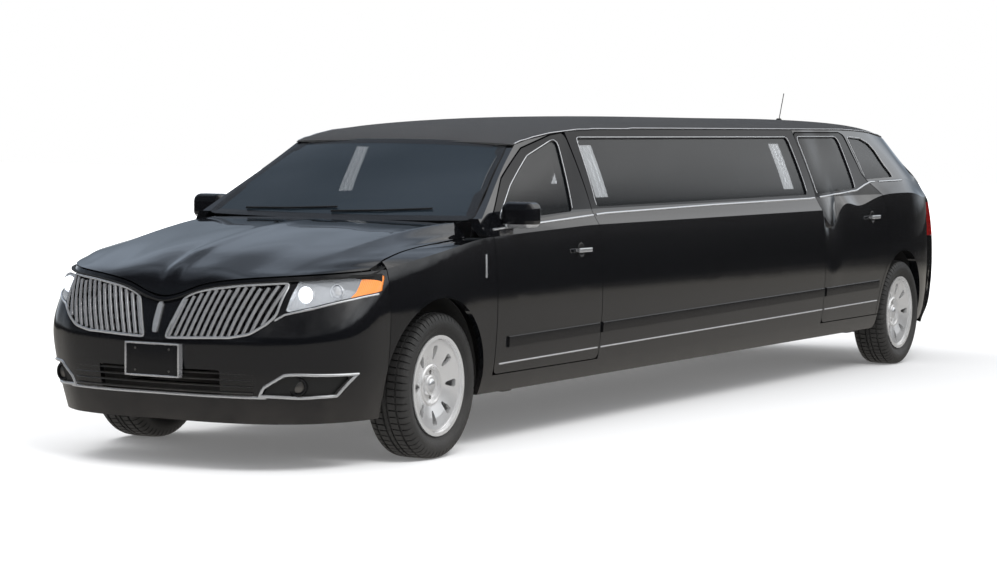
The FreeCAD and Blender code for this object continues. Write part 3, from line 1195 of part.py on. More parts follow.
MIRROR_SIZE = (140.0, 190.0, 140.0)
MIRROR_ARM = 26.0


def make_hinges(x):
    """The body's halves of a door's two hinges, reaching to the door's front edge at x."""
    leaves = []
    for share in HINGE_SHARES:
        z = between(DOOR_BOTTOM, RAIL, share)
        y = side_y(x, z) - HINGE_WALL / 2
        leaves.append(box(x + SEAT_GAP, x + HINGE_LENGTH, y - HINGE_WALL, y, z, z + HINGE_HEIGHT))
    return leaves


def make_handle(place, skin_y):
    x, z = place
    y = skin_y
    half, rise = HANDLE_LENGTH / 2, HANDLE_HEIGHT / 2
    out = y + HANDLE_PROUD
    grip = box(x - half, x + half, out - HANDLE_WALL, out, z - rise, z + rise)
    grip = grip.makeFillet(HANDLE_WALL * 0.4, grip.Edges)
    for side in (-1, 1):
        cx = x + side * (HANDLE_LENGTH / 2 - HANDLE_HEIGHT)
        wide, tall = HANDLE_HEIGHT / 2, HANDLE_HEIGHT / 3
        foot = box(cx - wide, cx + wide, y - PANEL / 2, out - HANDLE_WALL / 2, z - tall, z + tall)
        grip = grip.fuse(foot)
    return grip


def make_mirror(skin_y):
    x, y, z = MIRROR_CENTRE
    dx, dy, dz = MIRROR_SIZE
    shell = box(x - dx / 2, x + dx / 2, y - dy / 2, y + dy / 2, z - dz / 2, z + dz / 2)
    shell = shell.makeFillet(dz * 0.3, shell.Edges)
    hollow = box(x - dx / 2, x - dx / 2 + CORNER, y - dy / 2 + CORNER, y + dy / 2 - CORNER,
                 z - dz / 2 + CORNER, z + dz / 2 - CORNER)
    low = z - dz / 2
    arm = box(x - MIRROR_ARM, x + MIRROR_ARM, skin_y - PANEL / 2, y, low + CORNER / 2, low + MIRROR_ARM)
    return shell.cut(hollow).fuse(arm)


WIPER_RADIUS = 5.0


def make_wipers():
    """Two blades lying at the bottom of the windscreen."""
    arms = []
    for s0, s1 in ((0.72, -0.02), (0.0, -0.74)):
        points = []
        for s, rise in ((s0, 0.10), ((s0 + s1) / 2, 0.07), (s1, 0.05)):
            low, top, out = screen_ends(s)
            bulge = SCREEN_BULGE * 4 * rise * (1 - rise)
            points.append(low + (top - low) * rise + out * (bulge + WIPER_RADIUS * 1.5))
        arms.append(tube(points[0], points[1], WIPER_RADIUS).fuse(tube(points[1], points[2], WIPER_RADIUS))
                    .fuse(Part.makeSphere(WIPER_RADIUS, points[1])))
    return arms


BAR_TILT = 12.0
LIGHT_BAR_WIDTH = 26.0
LIGHT_BAR_PITCH = 52.0
LIGHT_BAR_SHARES = (0.045, 0.868)


def make_light_bars():
    shapes = []
    wall = long_side(GLASS_INSET + GLASS + CLEAR_GAP, HANDLE_WALL)
    low = between(DOOR_BOTTOM, RAIL, 0.70)
    high = between(DOOR_BOTTOM, RAIL, 0.93)
    for share in LIGHT_BAR_SHARES:
        for i in range(BAR_COUNT):
            x = B_POST_X - CENTRE_LENGTH * share - LIGHT_BAR_PITCH * i
            wide = LIGHT_BAR_WIDTH
            points = [(x, low), (x - wide, low), (x - wide - BAR_TILT, high), (x - BAR_TILT, high)]
            shapes.append(wall.common(side_prism(points, CORNER / 2, PRISM_INSIDE, PRISM_OUTSIDE)))
    return shapes


def main():
    os.makedirs("parts", exist_ok=True)
    outlines = {
        "front_door": door_points(FRONT_DOOR_SHARES, FRONT_DOOR_X, FRONT_DOOR_LENGTH),
        "front_opening": door_points(FRONT_DOOR_SHARES, FRONT_DOOR_X, FRONT_DOOR_LENGTH, 2),
        "rear_door": door_points(REAR_DOOR_SHARES, REAR_DOOR_X, REAR_DOOR_LENGTH),
        "rear_opening": door_points(REAR_DOOR_SHARES, REAR_DOOR_X, REAR_DOOR_LENGTH, 2),
        "front_glass": door_points(FRONT_GLASS_SHARES, FRONT_DOOR_X, FRONT_DOOR_LENGTH),
        "rear_glass": door_points(REAR_GLASS_SHARES, REAR_DOOR_X, REAR_DOOR_LENGTH),
        "quarter_glass": door_points(QUARTER_GLASS_SHARES, REAR_DOOR_X, REAR_DOOR_LENGTH),
        "long_glass": door_points(LONG_GLASS_SHARES, B_POST_X, CENTRE_LENGTH),
    }

    def prism(name, distance, corner):
        points = offset_outline(anticlockwise(outlines[name]), distance)
        return side_prism(points, corner, PRISM_INSIDE, PRISM_OUTSIDE)

    arches = wheel_arch(FRONT_AXLE_X, ARCH_RADIUS).fuse(wheel_arch(REAR_AXLE_X, ARCH_RADIUS))
    door_arch = wheel_arch(REAR_AXLE_X, ARCH_RADIUS + FLANGE)
    front = front_side(0, FRAME_WALL)
    middle = long_side(0, FRAME_WALL)
    rear = rear_side(0, FRAME_WALL)
    below = box(-LENGTH, LENGTH, 0, PRISM_OUTSIDE, 0, DOOR_BOTTOM)
    sill_top = DOOR_BOTTOM - SHUT_GAP

    # Sills: the foot of the side between the wheel arches
    sill_back = REAR_AXLE_X + ARCH_RADIUS + SEAT_GAP
    sill_zone = box(sill_back, FRONT_DOOR_X + SHUT_GAP, 0, PRISM_OUTSIDE, 0, sill_top)
    sill = front.fuse(middle).fuse(rear).common(sill_zone).cut(arches)
    for x in (FRONT_DOOR_X - PAD_LENGTH * 2, REAR_DOOR_X - REAR_DOOR_LENGTH / 2):
        y = side_y(B_POST_X, SILL_BOTTOM) - FRAME_WALL / 2
        sill = sill.fuse(box(x - PAD_LENGTH, x, y - PAD_WIDTH / 2, y + PAD_WIDTH / 2,
                             SILL_BOTTOM - PAD_HEIGHT, SILL_BOTTOM + PAD_HEIGHT))
    save(both(sill), "sills")

    # Doors, their glass and the fixed side around them
    front_door = front_side(0, DOOR_WALL).common(prism("front_door", 0, DOOR_CORNER))
    front_door = front_door.cut(prism("front_glass", 0, GLASS_CORNER))
    front_door = front_door.fuse(make_handle(HANDLE_FRONT, side_y(*HANDLE_FRONT)))
    front_pane = front_side(GLASS_INSET, GLASS).common(prism("front_glass", -SEAT_GAP, GLASS_CORNER))
    save(front_door, "door_front_left")
    save(mirrored(front_door), "door_front_right")
    save(front_pane, "glass_front_left")
    save(mirrored(front_pane), "glass_front_right")

    rear_door = rear_side(0, DOOR_WALL).common(prism("rear_door", 0, DOOR_CORNER))
    rear_door = rear_door.cut(wheel_arch(REAR_AXLE_X, ARCH_RADIUS + FLANGE + SHUT_GAP))
    rear_door = rear_door.cut(prism("rear_glass", 0, GLASS_CORNER))
    rear_door = rear_door.fuse(make_handle(HANDLE_REAR, side_y(*HANDLE_REAR)))
    rear_pane = rear_side(GLASS_INSET, GLASS).common(prism("rear_glass", -SEAT_GAP, GLASS_CORNER))
    save(rear_door, "door_rear_left")
    save(mirrored(rear_door), "door_rear_right")
    save(rear_pane, "glass_rear_left")
    save(mirrored(rear_pane), "glass_rear_right")

    front_hole = prism("front_opening", SHUT_GAP + BUSH, DOOR_CORNER)
    rear_hole = prism("rear_opening", SHUT_GAP + BUSH, DOOR_CORNER).cut(door_arch)
    foot_z = ROOF_HEIGHT * FENDER_SHARES[0][1] + CLEAR_GAP
    low_front = box(-LENGTH, LENGTH, 0, PRISM_OUTSIDE, 0, foot_z)
    pillar = trim_above(front.cut(front_hole)).cut(ahead_of_screen()).cut(low_front)
    save(both(pillar), "front_pillars")

    foot = sill_top + SEAT_GAP
    strip = box(REAR_DOOR_X + SHUT_GAP, B_POST_X - SHUT_GAP, 0, PRISM_OUTSIDE, foot, RAIL)
    centre = trim_above(middle.common(strip)).cut(prism("long_glass", 0, GLASS_CORNER))
    centre = centre.fuse(make_hinges(REAR_DOOR_X))
    save(both(centre), "centre_panels")

    quarter = rear.cut(rear_hole).cut(arches).cut(tail_line(0))
    quarter = trim_above(quarter).cut(prism("quarter_glass", 0, GLASS_CORNER))
    ahead = box(REAR_AXLE_X + ARCH_RADIUS, REAR_DOOR_X + OVERRUN, 0, PRISM_OUTSIDE, 0, DOOR_BOTTOM)
    quarter = quarter.cut(ahead)
    tail = make_tail(0, PANEL).common(tail_line(SEAT_GAP))
    gate_hole = tail_prism(TAILGATE_SHARES, SHUT_GAP, CORNER)
    lamp_hole = tail_prism(TAIL_LAMP_SHARES, 0, CORNER)
    bumper_zone = box(-LENGTH, 0, -PRISM_OUTSIDE, PRISM_OUTSIDE, 0, ROOF_HEIGHT * BUMPER_TOP_SHARE)
    corners = tail.cut(gate_hole).cut(lamp_hole).cut(mirrored(lamp_hole)).cut(bumper_zone)
    save(Part.makeCompound(both(quarter).Solids + corners.Solids), "quarter_panels")
    bumper_top = ROOF_HEIGHT * BUMPER_TOP_SHARE - SEAT_GAP
    bumper_room = box(-LENGTH, 0, -PRISM_OUTSIDE, PRISM_OUTSIDE, 0, bumper_top)
    save(tail.common(bumper_room), "rear_bumper")
    gate = make_tail(0, PANEL).common(tail_prism(TAILGATE_SHARES, 0, CORNER))
    window = tail_prism(REAR_WINDOW_SHARES, 0, GLASS_CORNER)
    save(gate.cut(window), "tailgate")
    pane = tail_prism(REAR_WINDOW_SHARES, -SEAT_GAP, GLASS_CORNER)
    save(make_tail(GLASS_INSET, GLASS).common(pane), "tailgate_glass")
    lamp = tail.common(tail_prism(TAIL_LAMP_SHARES, -SEAT_GAP, CORNER))
    save(both(lamp), "tail_lamps")

    panes = long_side(GLASS_INSET, GLASS).common(prism("long_glass", -SEAT_GAP, GLASS_CORNER))
    quarter_pane = rear_side(GLASS_INSET, GLASS).common(prism("quarter_glass", -SEAT_GAP, GLASS_CORNER))
    save(Part.makeCompound(both(panes).Solids + both(quarter_pane).Solids), "side_glass")
    bars = make_light_bars()
    save(Part.makeCompound([s for b in bars for s in both(b).Solids]), "light_bars")

    roof = make_roof()
    save(roof, "roof")
    screen = make_windscreen()
    rest = front_side(-CLEAR_GAP, FRAME_WALL + 2 * CLEAR_GAP)
    screen = screen.cut(rest).cut(mirrored(rest)).cut(roof)
    screen = screen.cut(roof.translated(V(CLEAR_GAP, 0, -CLEAR_GAP)))
    save(max(screen.Solids, key=lambda solid: solid.Volume), "windscreen")
    save(Part.makeCompound(make_wipers()), "wipers")
    roof_z = read([(x, c) for x, c, e in roof_rows()], AERIAL_X, 1)
    save(make_aerial(roof_z).cut(roof), "aerial")

    # The front: fenders, hood, nose, grille and lamps
    fender = make_fender().cut(arches).fuse(make_hinges(FRONT_DOOR_X))
    save(both(fender), "front_fenders")
    save(make_hood(), "hood")
    nose = make_nose(0, PANEL)
    holes = [nose_prism(rows, 0, CORNER) for rows in (WING_SHARES, LAMP_SHARES, FOG_SHARES)]
    holes = holes + [mirrored(h) for h in holes] + [nose_prism(MOUTH_SHARES, 0, CORNER)]
    bumper = nose.cut(Part.makeCompound(holes)).cut(arches)
    wing, net, blade, room = make_grille()
    bumper = bumper.cut(room)
    save(bumper, "front_bumper")
    save(Part.makeCompound(both(wing).Solids + both(net).Solids + blade.Solids), "grille")
    save(both(lamp_unit(LAMP_SHARES, SEAT_GAP, FRAME_PROUD / 2)), "headlamps")
    save(both(lamp_unit(FOG_SHARES, SEAT_GAP, FRAME_PROUD * 2)), "fog_lamps")

    # Below and inside
    save(make_underbody(), "underbody")
    save(both(make_front_liners()), "front_liners")
    save(make_front_subframe(), "front_subframe")
    carrier, shaft = make_rear_subframe()
    save(carrier.fuse(shaft).fuse(mirrored(shaft)), "rear_subframe")
    save(make_engine(), "engine_block")
    save(both(make_exhaust()), "exhaust")
    save(make_dashboard(), "dashboard")
    save(make_steering_wheel(), "steering_wheel")
    save(Part.makeCompound(make_seats()), "seats")

    mirror = make_mirror(side_y(MIRROR_CENTRE[0], MIRROR_CENTRE[2] - MIRROR_SIZE[2] / 2))
    mirror = mirror.cut(front_side(-SEAT_GAP, DOOR_WALL + SEAT_GAP))
    save(mirror, "mirror_left")
    save(mirrored(mirror), "mirror_right")

    knuckle = make_knuckle(FRONT_AXLE_X, True)
    save(knuckle, "knuckle_left")
    save(mirrored(knuckle), "knuckle_right")
    rim = make_rim()
    tyre = make_tyre()
    for end, x in (("front", FRONT_AXLE_X), ("rear", REAR_AXLE_X)):
        for side in ("left", "right"):
            for shape, kind in ((rim, "wheel"), (tyre, "tyre")):
                placed = shape if side == "left" else mirrored(shape)
                save(placed.translated(V(x, 0, 0)), kind + "_" + end + "_" + side)


main()
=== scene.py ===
# %% [markdown]
# # A stretch limousine around its CAD frame
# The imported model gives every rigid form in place, in metres: +X is the front of the car, +Y its
# left and +Z up, with the ground at zero. This script dresses it: paint, glass, chrome, tyre
# tread, lamps, trim and seats, and it adds the light, the floor and the camera.

# %% Load the frame
import bpy
import bmesh
import math
import numpy as np
from mathutils import Vector, Matrix
from mathutils.bvhtree import BVHTree


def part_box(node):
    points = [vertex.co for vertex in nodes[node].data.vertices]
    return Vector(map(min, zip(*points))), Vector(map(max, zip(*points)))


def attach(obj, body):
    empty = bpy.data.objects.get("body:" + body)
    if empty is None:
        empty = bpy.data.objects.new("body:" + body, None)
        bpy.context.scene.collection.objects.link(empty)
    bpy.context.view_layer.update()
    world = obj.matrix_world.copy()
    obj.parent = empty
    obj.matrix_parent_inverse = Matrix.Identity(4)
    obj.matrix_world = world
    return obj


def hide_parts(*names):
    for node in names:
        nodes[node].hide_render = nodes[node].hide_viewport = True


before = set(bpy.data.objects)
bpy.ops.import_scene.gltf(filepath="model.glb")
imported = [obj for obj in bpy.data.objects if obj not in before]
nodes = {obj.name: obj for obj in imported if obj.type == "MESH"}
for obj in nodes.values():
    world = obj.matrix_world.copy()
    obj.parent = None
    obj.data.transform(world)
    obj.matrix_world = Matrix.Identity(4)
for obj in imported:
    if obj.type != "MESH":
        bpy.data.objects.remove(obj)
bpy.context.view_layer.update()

# %% [markdown]
# The camera comes from a fit to the photograph: where it stood, where it looked and its focal
# length in pixels of the 997 by 561 picture.

# %% Camera
PHOTO_WIDTH = 997
FOCAL_PIXELS = 2727.55
SENSOR = 36.0
FRONT_AXLE_X = 3.3075
REAR_AXLE_X = -3.2425
CAMERA_PLACE = Vector((FRONT_AXLE_X + 11.8404, 7.791, 1.7115))
YAW, PITCH, ROLL = 3.6443, -0.059, 0.0107

look = Vector((math.cos(PITCH) * math.cos(YAW), math.cos(PITCH) * math.sin(YAW), math.sin(PITCH)))
right = look.cross(Vector((0, 0, 1))).normalized()
up = right.cross(look)
right, up = (right * math.cos(ROLL) + up * math.sin(ROLL), up * math.cos(ROLL) - right * math.sin(ROLL))
lens = bpy.data.cameras.new("camera")
lens.sensor_width = SENSOR
lens.lens = FOCAL_PIXELS / PHOTO_WIDTH * SENSOR
lens.clip_end = 200
camera = bpy.data.objects.new("camera", lens)
bpy.context.scene.collection.objects.link(camera)
turn = Matrix((right, up, -look)).transposed().to_4x4()
camera.matrix_world = Matrix.Translation(CAMERA_PLACE) @ turn
bpy.context.scene.camera = camera
bpy.context.scene.view_settings.view_transform = "Standard"
print("lens", round(lens.lens, 2))

# %% [markdown]
# ## Materials
# Node groups hold the effects that several materials share. They put out only masks, values and
# heights; the Principled shader stays in each material.

# %% Node helpers


def new_group(name, inputs, outputs):
    """A shader node group with float inputs {name: default} and outputs [(name, type)]."""
    group = bpy.data.node_groups.new(name, "ShaderNodeTree")
    for label, default in inputs.items():
        socket = group.interface.new_socket(label, in_out="INPUT", socket_type="NodeSocketFloat")
        socket.default_value = default
    for label, kind in outputs:
        group.interface.new_socket(label, in_out="OUTPUT", socket_type=kind)
    start = group.nodes.new("NodeGroupInput")
    end = group.nodes.new("NodeGroupOutput")
    return group, start, end


def node(tree, kind, values=None, **settings):
    """A node with its settings and its input values or links."""
    made = tree.nodes.new(kind)
    for key, value in settings.items():
        setattr(made, key, value)
    for key, value in (values or {}).items():
        if isinstance(value, bpy.types.NodeSocket):
            tree.links.new(value, made.inputs[key])
        else:
            made.inputs[key].default_value = value
    return made


def math_node(tree, operation, a, b, clamp=False):
    return node(tree, "ShaderNodeMath", {0: a, 1: b}, operation=operation, use_clamp=clamp).outputs[0]


def times(tree, a, b, clamp=False):
    return math_node(tree, "MULTIPLY", a, b, clamp)


def plus(tree, a, b):
    return math_node(tree, "ADD", a, b)


def ramp(tree, value, stops):
    """A colour ramp from [(place, colour or grey)]."""
    made = tree.nodes.new("ShaderNodeValToRGB")
    tree.links.new(value, made.inputs[0])
    items = made.color_ramp.elements
    while len(items) < len(stops):
        items.new(0.5)
    for item, (place, colour) in zip(items, stops):
        item.position = place
        item.color = colour if isinstance(colour, tuple) else (colour, colour, colour, 1)
    return made.outputs[0]


# %% [markdown]
# Orange peel is the fine ripple of gloss paint, road dust gathers low on the car, and grain is the
# cell pattern of vinyl, leather and moulded plastic. Each works in object coordinates.

# %% Shared effects
peel, start, end = new_group("orange_peel", {"Scale": 60.0, "Depth": 1.0},
        [("Height", "NodeSocketFloat"), ("Haze", "NodeSocketFloat")])
place = node(peel, "ShaderNodeTexCoord").outputs["Object"]
fine = node(peel, "ShaderNodeTexNoise", {"Vector": place, "Scale": start.outputs["Scale"], "Detail": 2.0})
broad = node(peel, "ShaderNodeTexNoise", {"Vector": place, "Scale": 1.7, "Detail": 3.0})
peel.links.new(times(peel, fine.outputs[0], start.outputs["Depth"]), end.inputs["Height"])
peel.links.new(times(peel, broad.outputs[0], 0.04), end.inputs["Haze"])

dust, start, end = new_group("road_dust", {"Top": 0.45, "Amount": 0.25},
        [("Mask", "NodeSocketFloat")])
place = node(dust, "ShaderNodeTexCoord").outputs["Object"]
height = node(dust, "ShaderNodeSeparateXYZ", {0: place}).outputs[2]
speck = node(dust, "ShaderNodeTexNoise", {"Vector": place, "Scale": 9.0, "Detail": 6.0}).outputs[0]
below = math_node(dust, "SUBTRACT", start.outputs["Top"], height)
low = math_node(dust, "DIVIDE", below, start.outputs["Top"], clamp=True)
specks = times(dust, low, speck)
mask = times(dust, specks, start.outputs["Amount"], clamp=True)
dust.links.new(mask, end.inputs["Mask"])

grain, start, end = new_group("grain", {"Scale": 400.0, "Depth": 1.0},
        [("Height", "NodeSocketFloat"), ("Tone", "NodeSocketFloat")])
place = node(grain, "ShaderNodeTexCoord").outputs["Object"]
cells = node(grain, "ShaderNodeTexVoronoi", {"Vector": place, "Scale": start.outputs["Scale"]},
        feature="DISTANCE_TO_EDGE").outputs["Distance"]
cells = times(grain, cells, 4.0, True)
creases = times(grain, cells, start.outputs["Depth"])
cloud = node(grain, "ShaderNodeTexNoise", {"Vector": place, "Scale": 3.0, "Detail": 5.0}).outputs[0]
grain.links.new(creases, end.inputs["Height"])
grain.links.new(cloud, end.inputs["Tone"])
print("groups", [g.name for g in bpy.data.node_groups])


# %% [markdown]
# Each maker builds one kind of surface. What is the same all over goes on the shader's own socket,
# and what varies comes through a group.

# %% Material makers


def material(name, colour, rough, metal=0.0, **sockets):
    """A material with its Principled shader; constant values go on the shader's own sockets."""
    made = bpy.data.materials.new(name)
    made.use_nodes = True
    shader = made.node_tree.nodes["Principled BSDF"]
    shader.inputs["Base Color"].default_value = (*colour, 1)
    shader.inputs["Roughness"].default_value = rough
    shader.inputs["Metallic"].default_value = metal
    for key, value in sockets.items():
        shader.inputs[key.replace("_", " ")].default_value = value
    return made, made.node_tree, shader


def group_node(tree, group, **values):
    made = tree.nodes.new("ShaderNodeGroup")
    made.node_tree = group
    for key, value in values.items():
        made.inputs[key].default_value = value
    return made


def mix_colour(tree, factor, a, b):
    made = node(tree, "ShaderNodeMix", {0: factor}, data_type="RGBA")
    made.inputs[6].default_value = (*a, 1)
    made.inputs[7].default_value = (*b, 1)
    return made.outputs[2]


def plug(shader, label, value):
    shader.id_data.links.new(value, shader.inputs[label])


def span(tree, value, low, high, start=0.0, end=1.0):
    """A value mapped from low..high to start..end and kept between them."""
    return node(tree, "ShaderNodeMapRange", {0: value, 1: low, 2: high, 3: start, 4: end}).outputs[0]


def object_place(tree):
    return node(tree, "ShaderNodeTexCoord").outputs["Object"]


def object_height(tree):
    return node(tree, "ShaderNodeSeparateXYZ", {0: object_place(tree)}).outputs[2]


def waves(tree, scale):
    """The fine ribs of a lamp lens."""
    return node(tree, "ShaderNodeTexWave", {"Vector": object_place(tree), "Scale": scale}).outputs[0]


def add_bump(tree, shader, height, distance):
    bump = node(tree, "ShaderNodeBump", {"Height": height, "Distance": distance, "Strength": 1.0})
    plug(shader, "Normal", bump.outputs[0])


DUST_COLOUR = (0.16, 0.14, 0.12)
DUST_TOP = 0.5
POST_BLEND = 0.004


def paint(name, colour, rough, posts_from=None):
    """Gloss paint with a slight peel and a film of dust low down; above posts_from it is satin."""
    made, tree, shader = material(name, colour, rough, Coat_Weight=1.0, Coat_Roughness=0.02,
            Coat_IOR=1.5, Specular_IOR_Level=0.35)
    film = group_node(tree, dust, Top=DUST_TOP, Amount=0.30).outputs["Mask"]
    wave = group_node(tree, peel, Scale=240.0, Depth=1.0)
    plug(shader, "Base Color", mix_colour(tree, film, colour, DUST_COLOUR))
    rougher = plus(tree, wave.outputs["Haze"], times(tree, film, 0.5))
    plug(shader, "Roughness", plus(tree, rougher, rough))
    add_bump(tree, shader, wave.outputs["Height"], 0.00004)
    if posts_from:
        height = object_height(tree)
        for label, start, end in (("Coat Weight", 1.0, 0.0), ("Specular IOR Level", 0.35, 0.22)):
            plug(shader, label, span(tree, height, posts_from, posts_from + POST_BLEND, start, end))
    return made


TONE_SPREAD = 0.12


def grained(name, colour, pale, rough, scale, depth, **sockets):
    """Vinyl, leather or moulded plastic with a cell grain."""
    made, tree, shader = material(name, colour, rough, **sockets)
    cells = group_node(tree, grain, Scale=scale, Depth=1.0)
    plug(shader, "Base Color", mix_colour(tree, cells.outputs["Tone"], colour, pale))
    spread = times(tree, cells.outputs["Tone"], TONE_SPREAD)
    plug(shader, "Roughness", plus(tree, spread, rough - TONE_SPREAD / 2))
    add_bump(tree, shader, cells.outputs["Height"], depth)
    return made


def metal(name, colour, rough, wear, share=1.0):
    """Chrome or bare metal with faint smears; a share below 1 keeps some of its own pale colour."""
    made, tree, shader = material(name, colour, rough, share)
    smear = group_node(tree, peel, Scale=30.0, Depth=1.0)
    amount = times(tree, smear.outputs["Height"], wear)
    plug(shader, "Roughness", plus(tree, amount, rough - wear * 0.4))
    return made


# Heights over which the painted shade on the side glass's reflection fades in.
GLASS_LOW, GLASS_HIGH = 1.24, 1.46


def tinted(name, colour, alpha, painted_reflection_fade=False):
    """Dark window glass: a film that lets a little through; asked to, its reflection is painted weaker by
    height towards the bottom of the pane, a painted shade.
    """
    made, tree, shader = material(name, colour, 0.02, Specular_IOR_Level=0.5, IOR=1.52, Alpha=alpha)
    haze = group_node(tree, peel, Scale=8.0, Depth=1.0)
    smears = times(tree, haze.outputs["Haze"], 0.6)
    plug(shader, "Roughness", plus(tree, smears, 0.008))
    if painted_reflection_fade:
        # Painted shade on the reflection: it grows weaker towards the bottom of the pane, for the darker
        # surroundings the pane would reflect there.
        film = span(tree, object_height(tree), GLASS_LOW, GLASS_HIGH, 0.05, 0.75)
        plug(shader, "Specular IOR Level", film)
    return made


BLACK = (0.0035, 0.0037, 0.0045)
mats = {
    "paint": paint("gloss_black_paint", BLACK, 0.05),
    "door_paint": paint("door_black_paint", BLACK, 0.05, posts_from=1.216),
    "vinyl": grained("roof_vinyl", (0.030, 0.030, 0.031), (0.048, 0.048, 0.049), 0.62, 330.0, 0.0005),
    "underseal": grained("underseal", (0.012, 0.012, 0.012), (0.03, 0.028, 0.026), 0.85, 120.0, 0.001),
    "plastic": grained("black_plastic", (0.008, 0.008, 0.008), (0.014, 0.014, 0.014), 0.5, 700.0,
        0.0002),
    "dash": grained("dash_skin", (0.02, 0.02, 0.021), (0.03, 0.03, 0.031), 0.6, 500.0, 0.0004),
    "leather": grained("seat_leather", (0.022, 0.022, 0.023), (0.036, 0.036, 0.037), 0.45, 260.0,
        0.0005),
    "rim": metal("polished_rim", (0.84, 0.84, 0.84), 0.17, 0.10, 0.70),
    "chrome": metal("chrome", (0.88, 0.89, 0.91), 0.07, 0.08, 0.84),
    "satin": metal("satin_chrome", (0.80, 0.80, 0.82), 0.14, 0.08, 0.86),
    "steel": metal("dull_steel", (0.35, 0.34, 0.33), 0.42, 0.2),
    "iron": grained("cast_iron", (0.06, 0.06, 0.06), (0.10, 0.095, 0.09), 0.6, 90.0, 0.0008,
        Metallic=0.7),
    "screen": tinted("screen_glass", (0.012, 0.018, 0.024), 0.86),
    # The side glass has its reflection painted weaker low down.
    "glass": tinted("side_glass", (0.006, 0.007, 0.008), 0.80, painted_reflection_fade=True),
    "lens": tinted("lamp_lens", (0.88, 0.92, 0.97), 0.22),
}


# %% [markdown]
# Rubber, lamps and the cabinet's lacquer each need a pattern of their own.

# %% Rubber, lamps and lacquer
mats["rubber"], tree, shader = material("tyre_rubber", (0.018, 0.018, 0.018), 0.40)
cells = group_node(tree, grain, Scale=500.0, Depth=1.0)
film = group_node(tree, dust, Top=0.75, Amount=0.5).outputs["Mask"]
dusty = mix_colour(tree, film, (0.016, 0.016, 0.016), (0.085, 0.08, 0.074))
plug(shader, "Base Color", dusty)
add_bump(tree, shader, cells.outputs["Height"], 0.0003)

LENSES = (("red", (0.35, 0.008, 0.008), 0.08, 30.0), ("amber", (0.75, 0.22, 0.03), 0.1, 25.0))
for key, colour, rough, scale in LENSES:
    mats[key], tree, shader = material(key + "_lens", colour, rough, Coat_Weight=1.0)
    add_bump(tree, shader, waves(tree, scale), 0.001)

PALE, WHITE = (0.95, 0.97, 1.0), (1.0, 1.0, 1.0)
mats["white"], tree, shader = material("light_bar", (0.85, 0.88, 0.90), 0.3, Emission_Strength=9.0)
frost = group_node(tree, grain, Scale=800.0, Depth=1.0).outputs["Tone"]
plug(shader, "Base Color", mix_colour(tree, frost, (0.80, 0.84, 0.86), PALE))
plug(shader, "Emission Color", mix_colour(tree, frost, (0.75, 0.8, 0.84), PALE))

mats["glow"], tree, shader = material("lamp_glow", (0.9, 0.93, 1.0), 0.05, Coat_Weight=1.0,
        Emission_Strength=2.0)
facets = group_node(tree, grain, Scale=90.0, Depth=1.0).outputs["Tone"]
plug(shader, "Emission Color", mix_colour(tree, facets, (0.85, 0.9, 1.0), WHITE))
mats["reflector"] = metal("lamp_reflector", (0.85, 0.87, 0.90), 0.10, 0.12, 0.6)
mats["trim"] = grained("gloss_trim", (0.004, 0.004, 0.005), (0.008, 0.008, 0.008), 0.25, 900.0,
        0.00005)

mats["wood"], tree, shader = material("cabinet_lacquer", (0.06, 0.03, 0.02), 0.2, Coat_Weight=1.0)
vein = node(tree, "ShaderNodeTexWave", {"Vector": object_place(tree), "Scale": 3.0, "Distortion": 6.0,
        "Detail": 3.0}, bands_direction="Z")
veined = mix_colour(tree, vein.outputs[1], (0.035, 0.018, 0.012), (0.10, 0.05, 0.03))
plug(shader, "Base Color", veined)
print("materials", len(mats))


# %% [markdown]
# A table gives each CAD node its finish. The rest of the skin is gloss paint, and the pieces that carry
# a window have satin posts.

# %% Put the materials on the nodes
FINISH = {
    "underbody": "underseal", "front_liners": "underseal", "front_subframe": "iron",
    "rear_subframe": "iron", "engine_block": "iron", "exhaust": "steel", "roof": "vinyl",
    "windscreen": "screen", "side_glass": "glass", "tailgate_glass": "glass", "light_bars": "white",
    "grille": "trim", "headlamps": "lens", "fog_lamps": "plastic", "tail_lamps": "red",
    "dashboard": "dash", "seats": "leather", "aerial": "plastic", "wipers": "plastic",
    "steering_wheel": "dash",
}
FAMILIES = {"tyre_": "rubber", "wheel_": "rim", "knuckle_": "iron", "glass_": "glass", "door_": "door_paint",
            "centre_panels": "door_paint"}
for name, piece in nodes.items():
    family = next((finish for start, finish in FAMILIES.items() if name.startswith(start)), "paint")
    key = FINISH.get(name, family)
    piece.data.materials.clear()
    piece.data.materials.append(mats[key])

# %% [markdown]
# ## Trim on the skin
# Every line of chrome or rubber is a small profile swept along points that a ray finds on the CAD
# skin, so it follows the body wherever it goes. Runs that cross a door are cut at its edges and ride
# on the door.

# %% Rays and sweeps


def tree_of(names):
    """A search tree of the skins of several CAD nodes."""
    places, faces = [], []
    for name in names:
        start = len(places)
        places += [v.co.copy() for v in nodes[name].data.vertices]
        faces += [[start + i for i in p.vertices] for p in nodes[name].data.polygons]
    return BVHTree.FromPolygons(places, faces)


SIDE_PREFIXES = ("door_", "glass_", "centre_", "quarter_", "front_fenders", "front_pillars", "roof",
        "side_glass", "rear_bumper", "front_bumper")
side_skin = tree_of([name for name in nodes if name.startswith(SIDE_PREFIXES)])
nose_skin = tree_of(["front_bumper", "front_fenders", "grille", "headlamps", "fog_lamps"])
top_skin = tree_of(["roof"])


def cast(tree, start, way):
    """Where a ray meets a skin, with the normal turned against the ray."""
    place, normal = tree.ray_cast(Vector(start), Vector(way))[:2]
    if place is None:
        return None, None
    return place, -normal if normal.dot(Vector(way)) > 0 else normal


def on_side(x, z, side):
    return cast(side_skin, (FRONT_AXLE_X + x, side * 2, z), (0, -side, 0))


def on_nose(y, z):
    return cast(nose_skin, (FRONT_AXLE_X + 3, y, z), (-1, 0, 0))


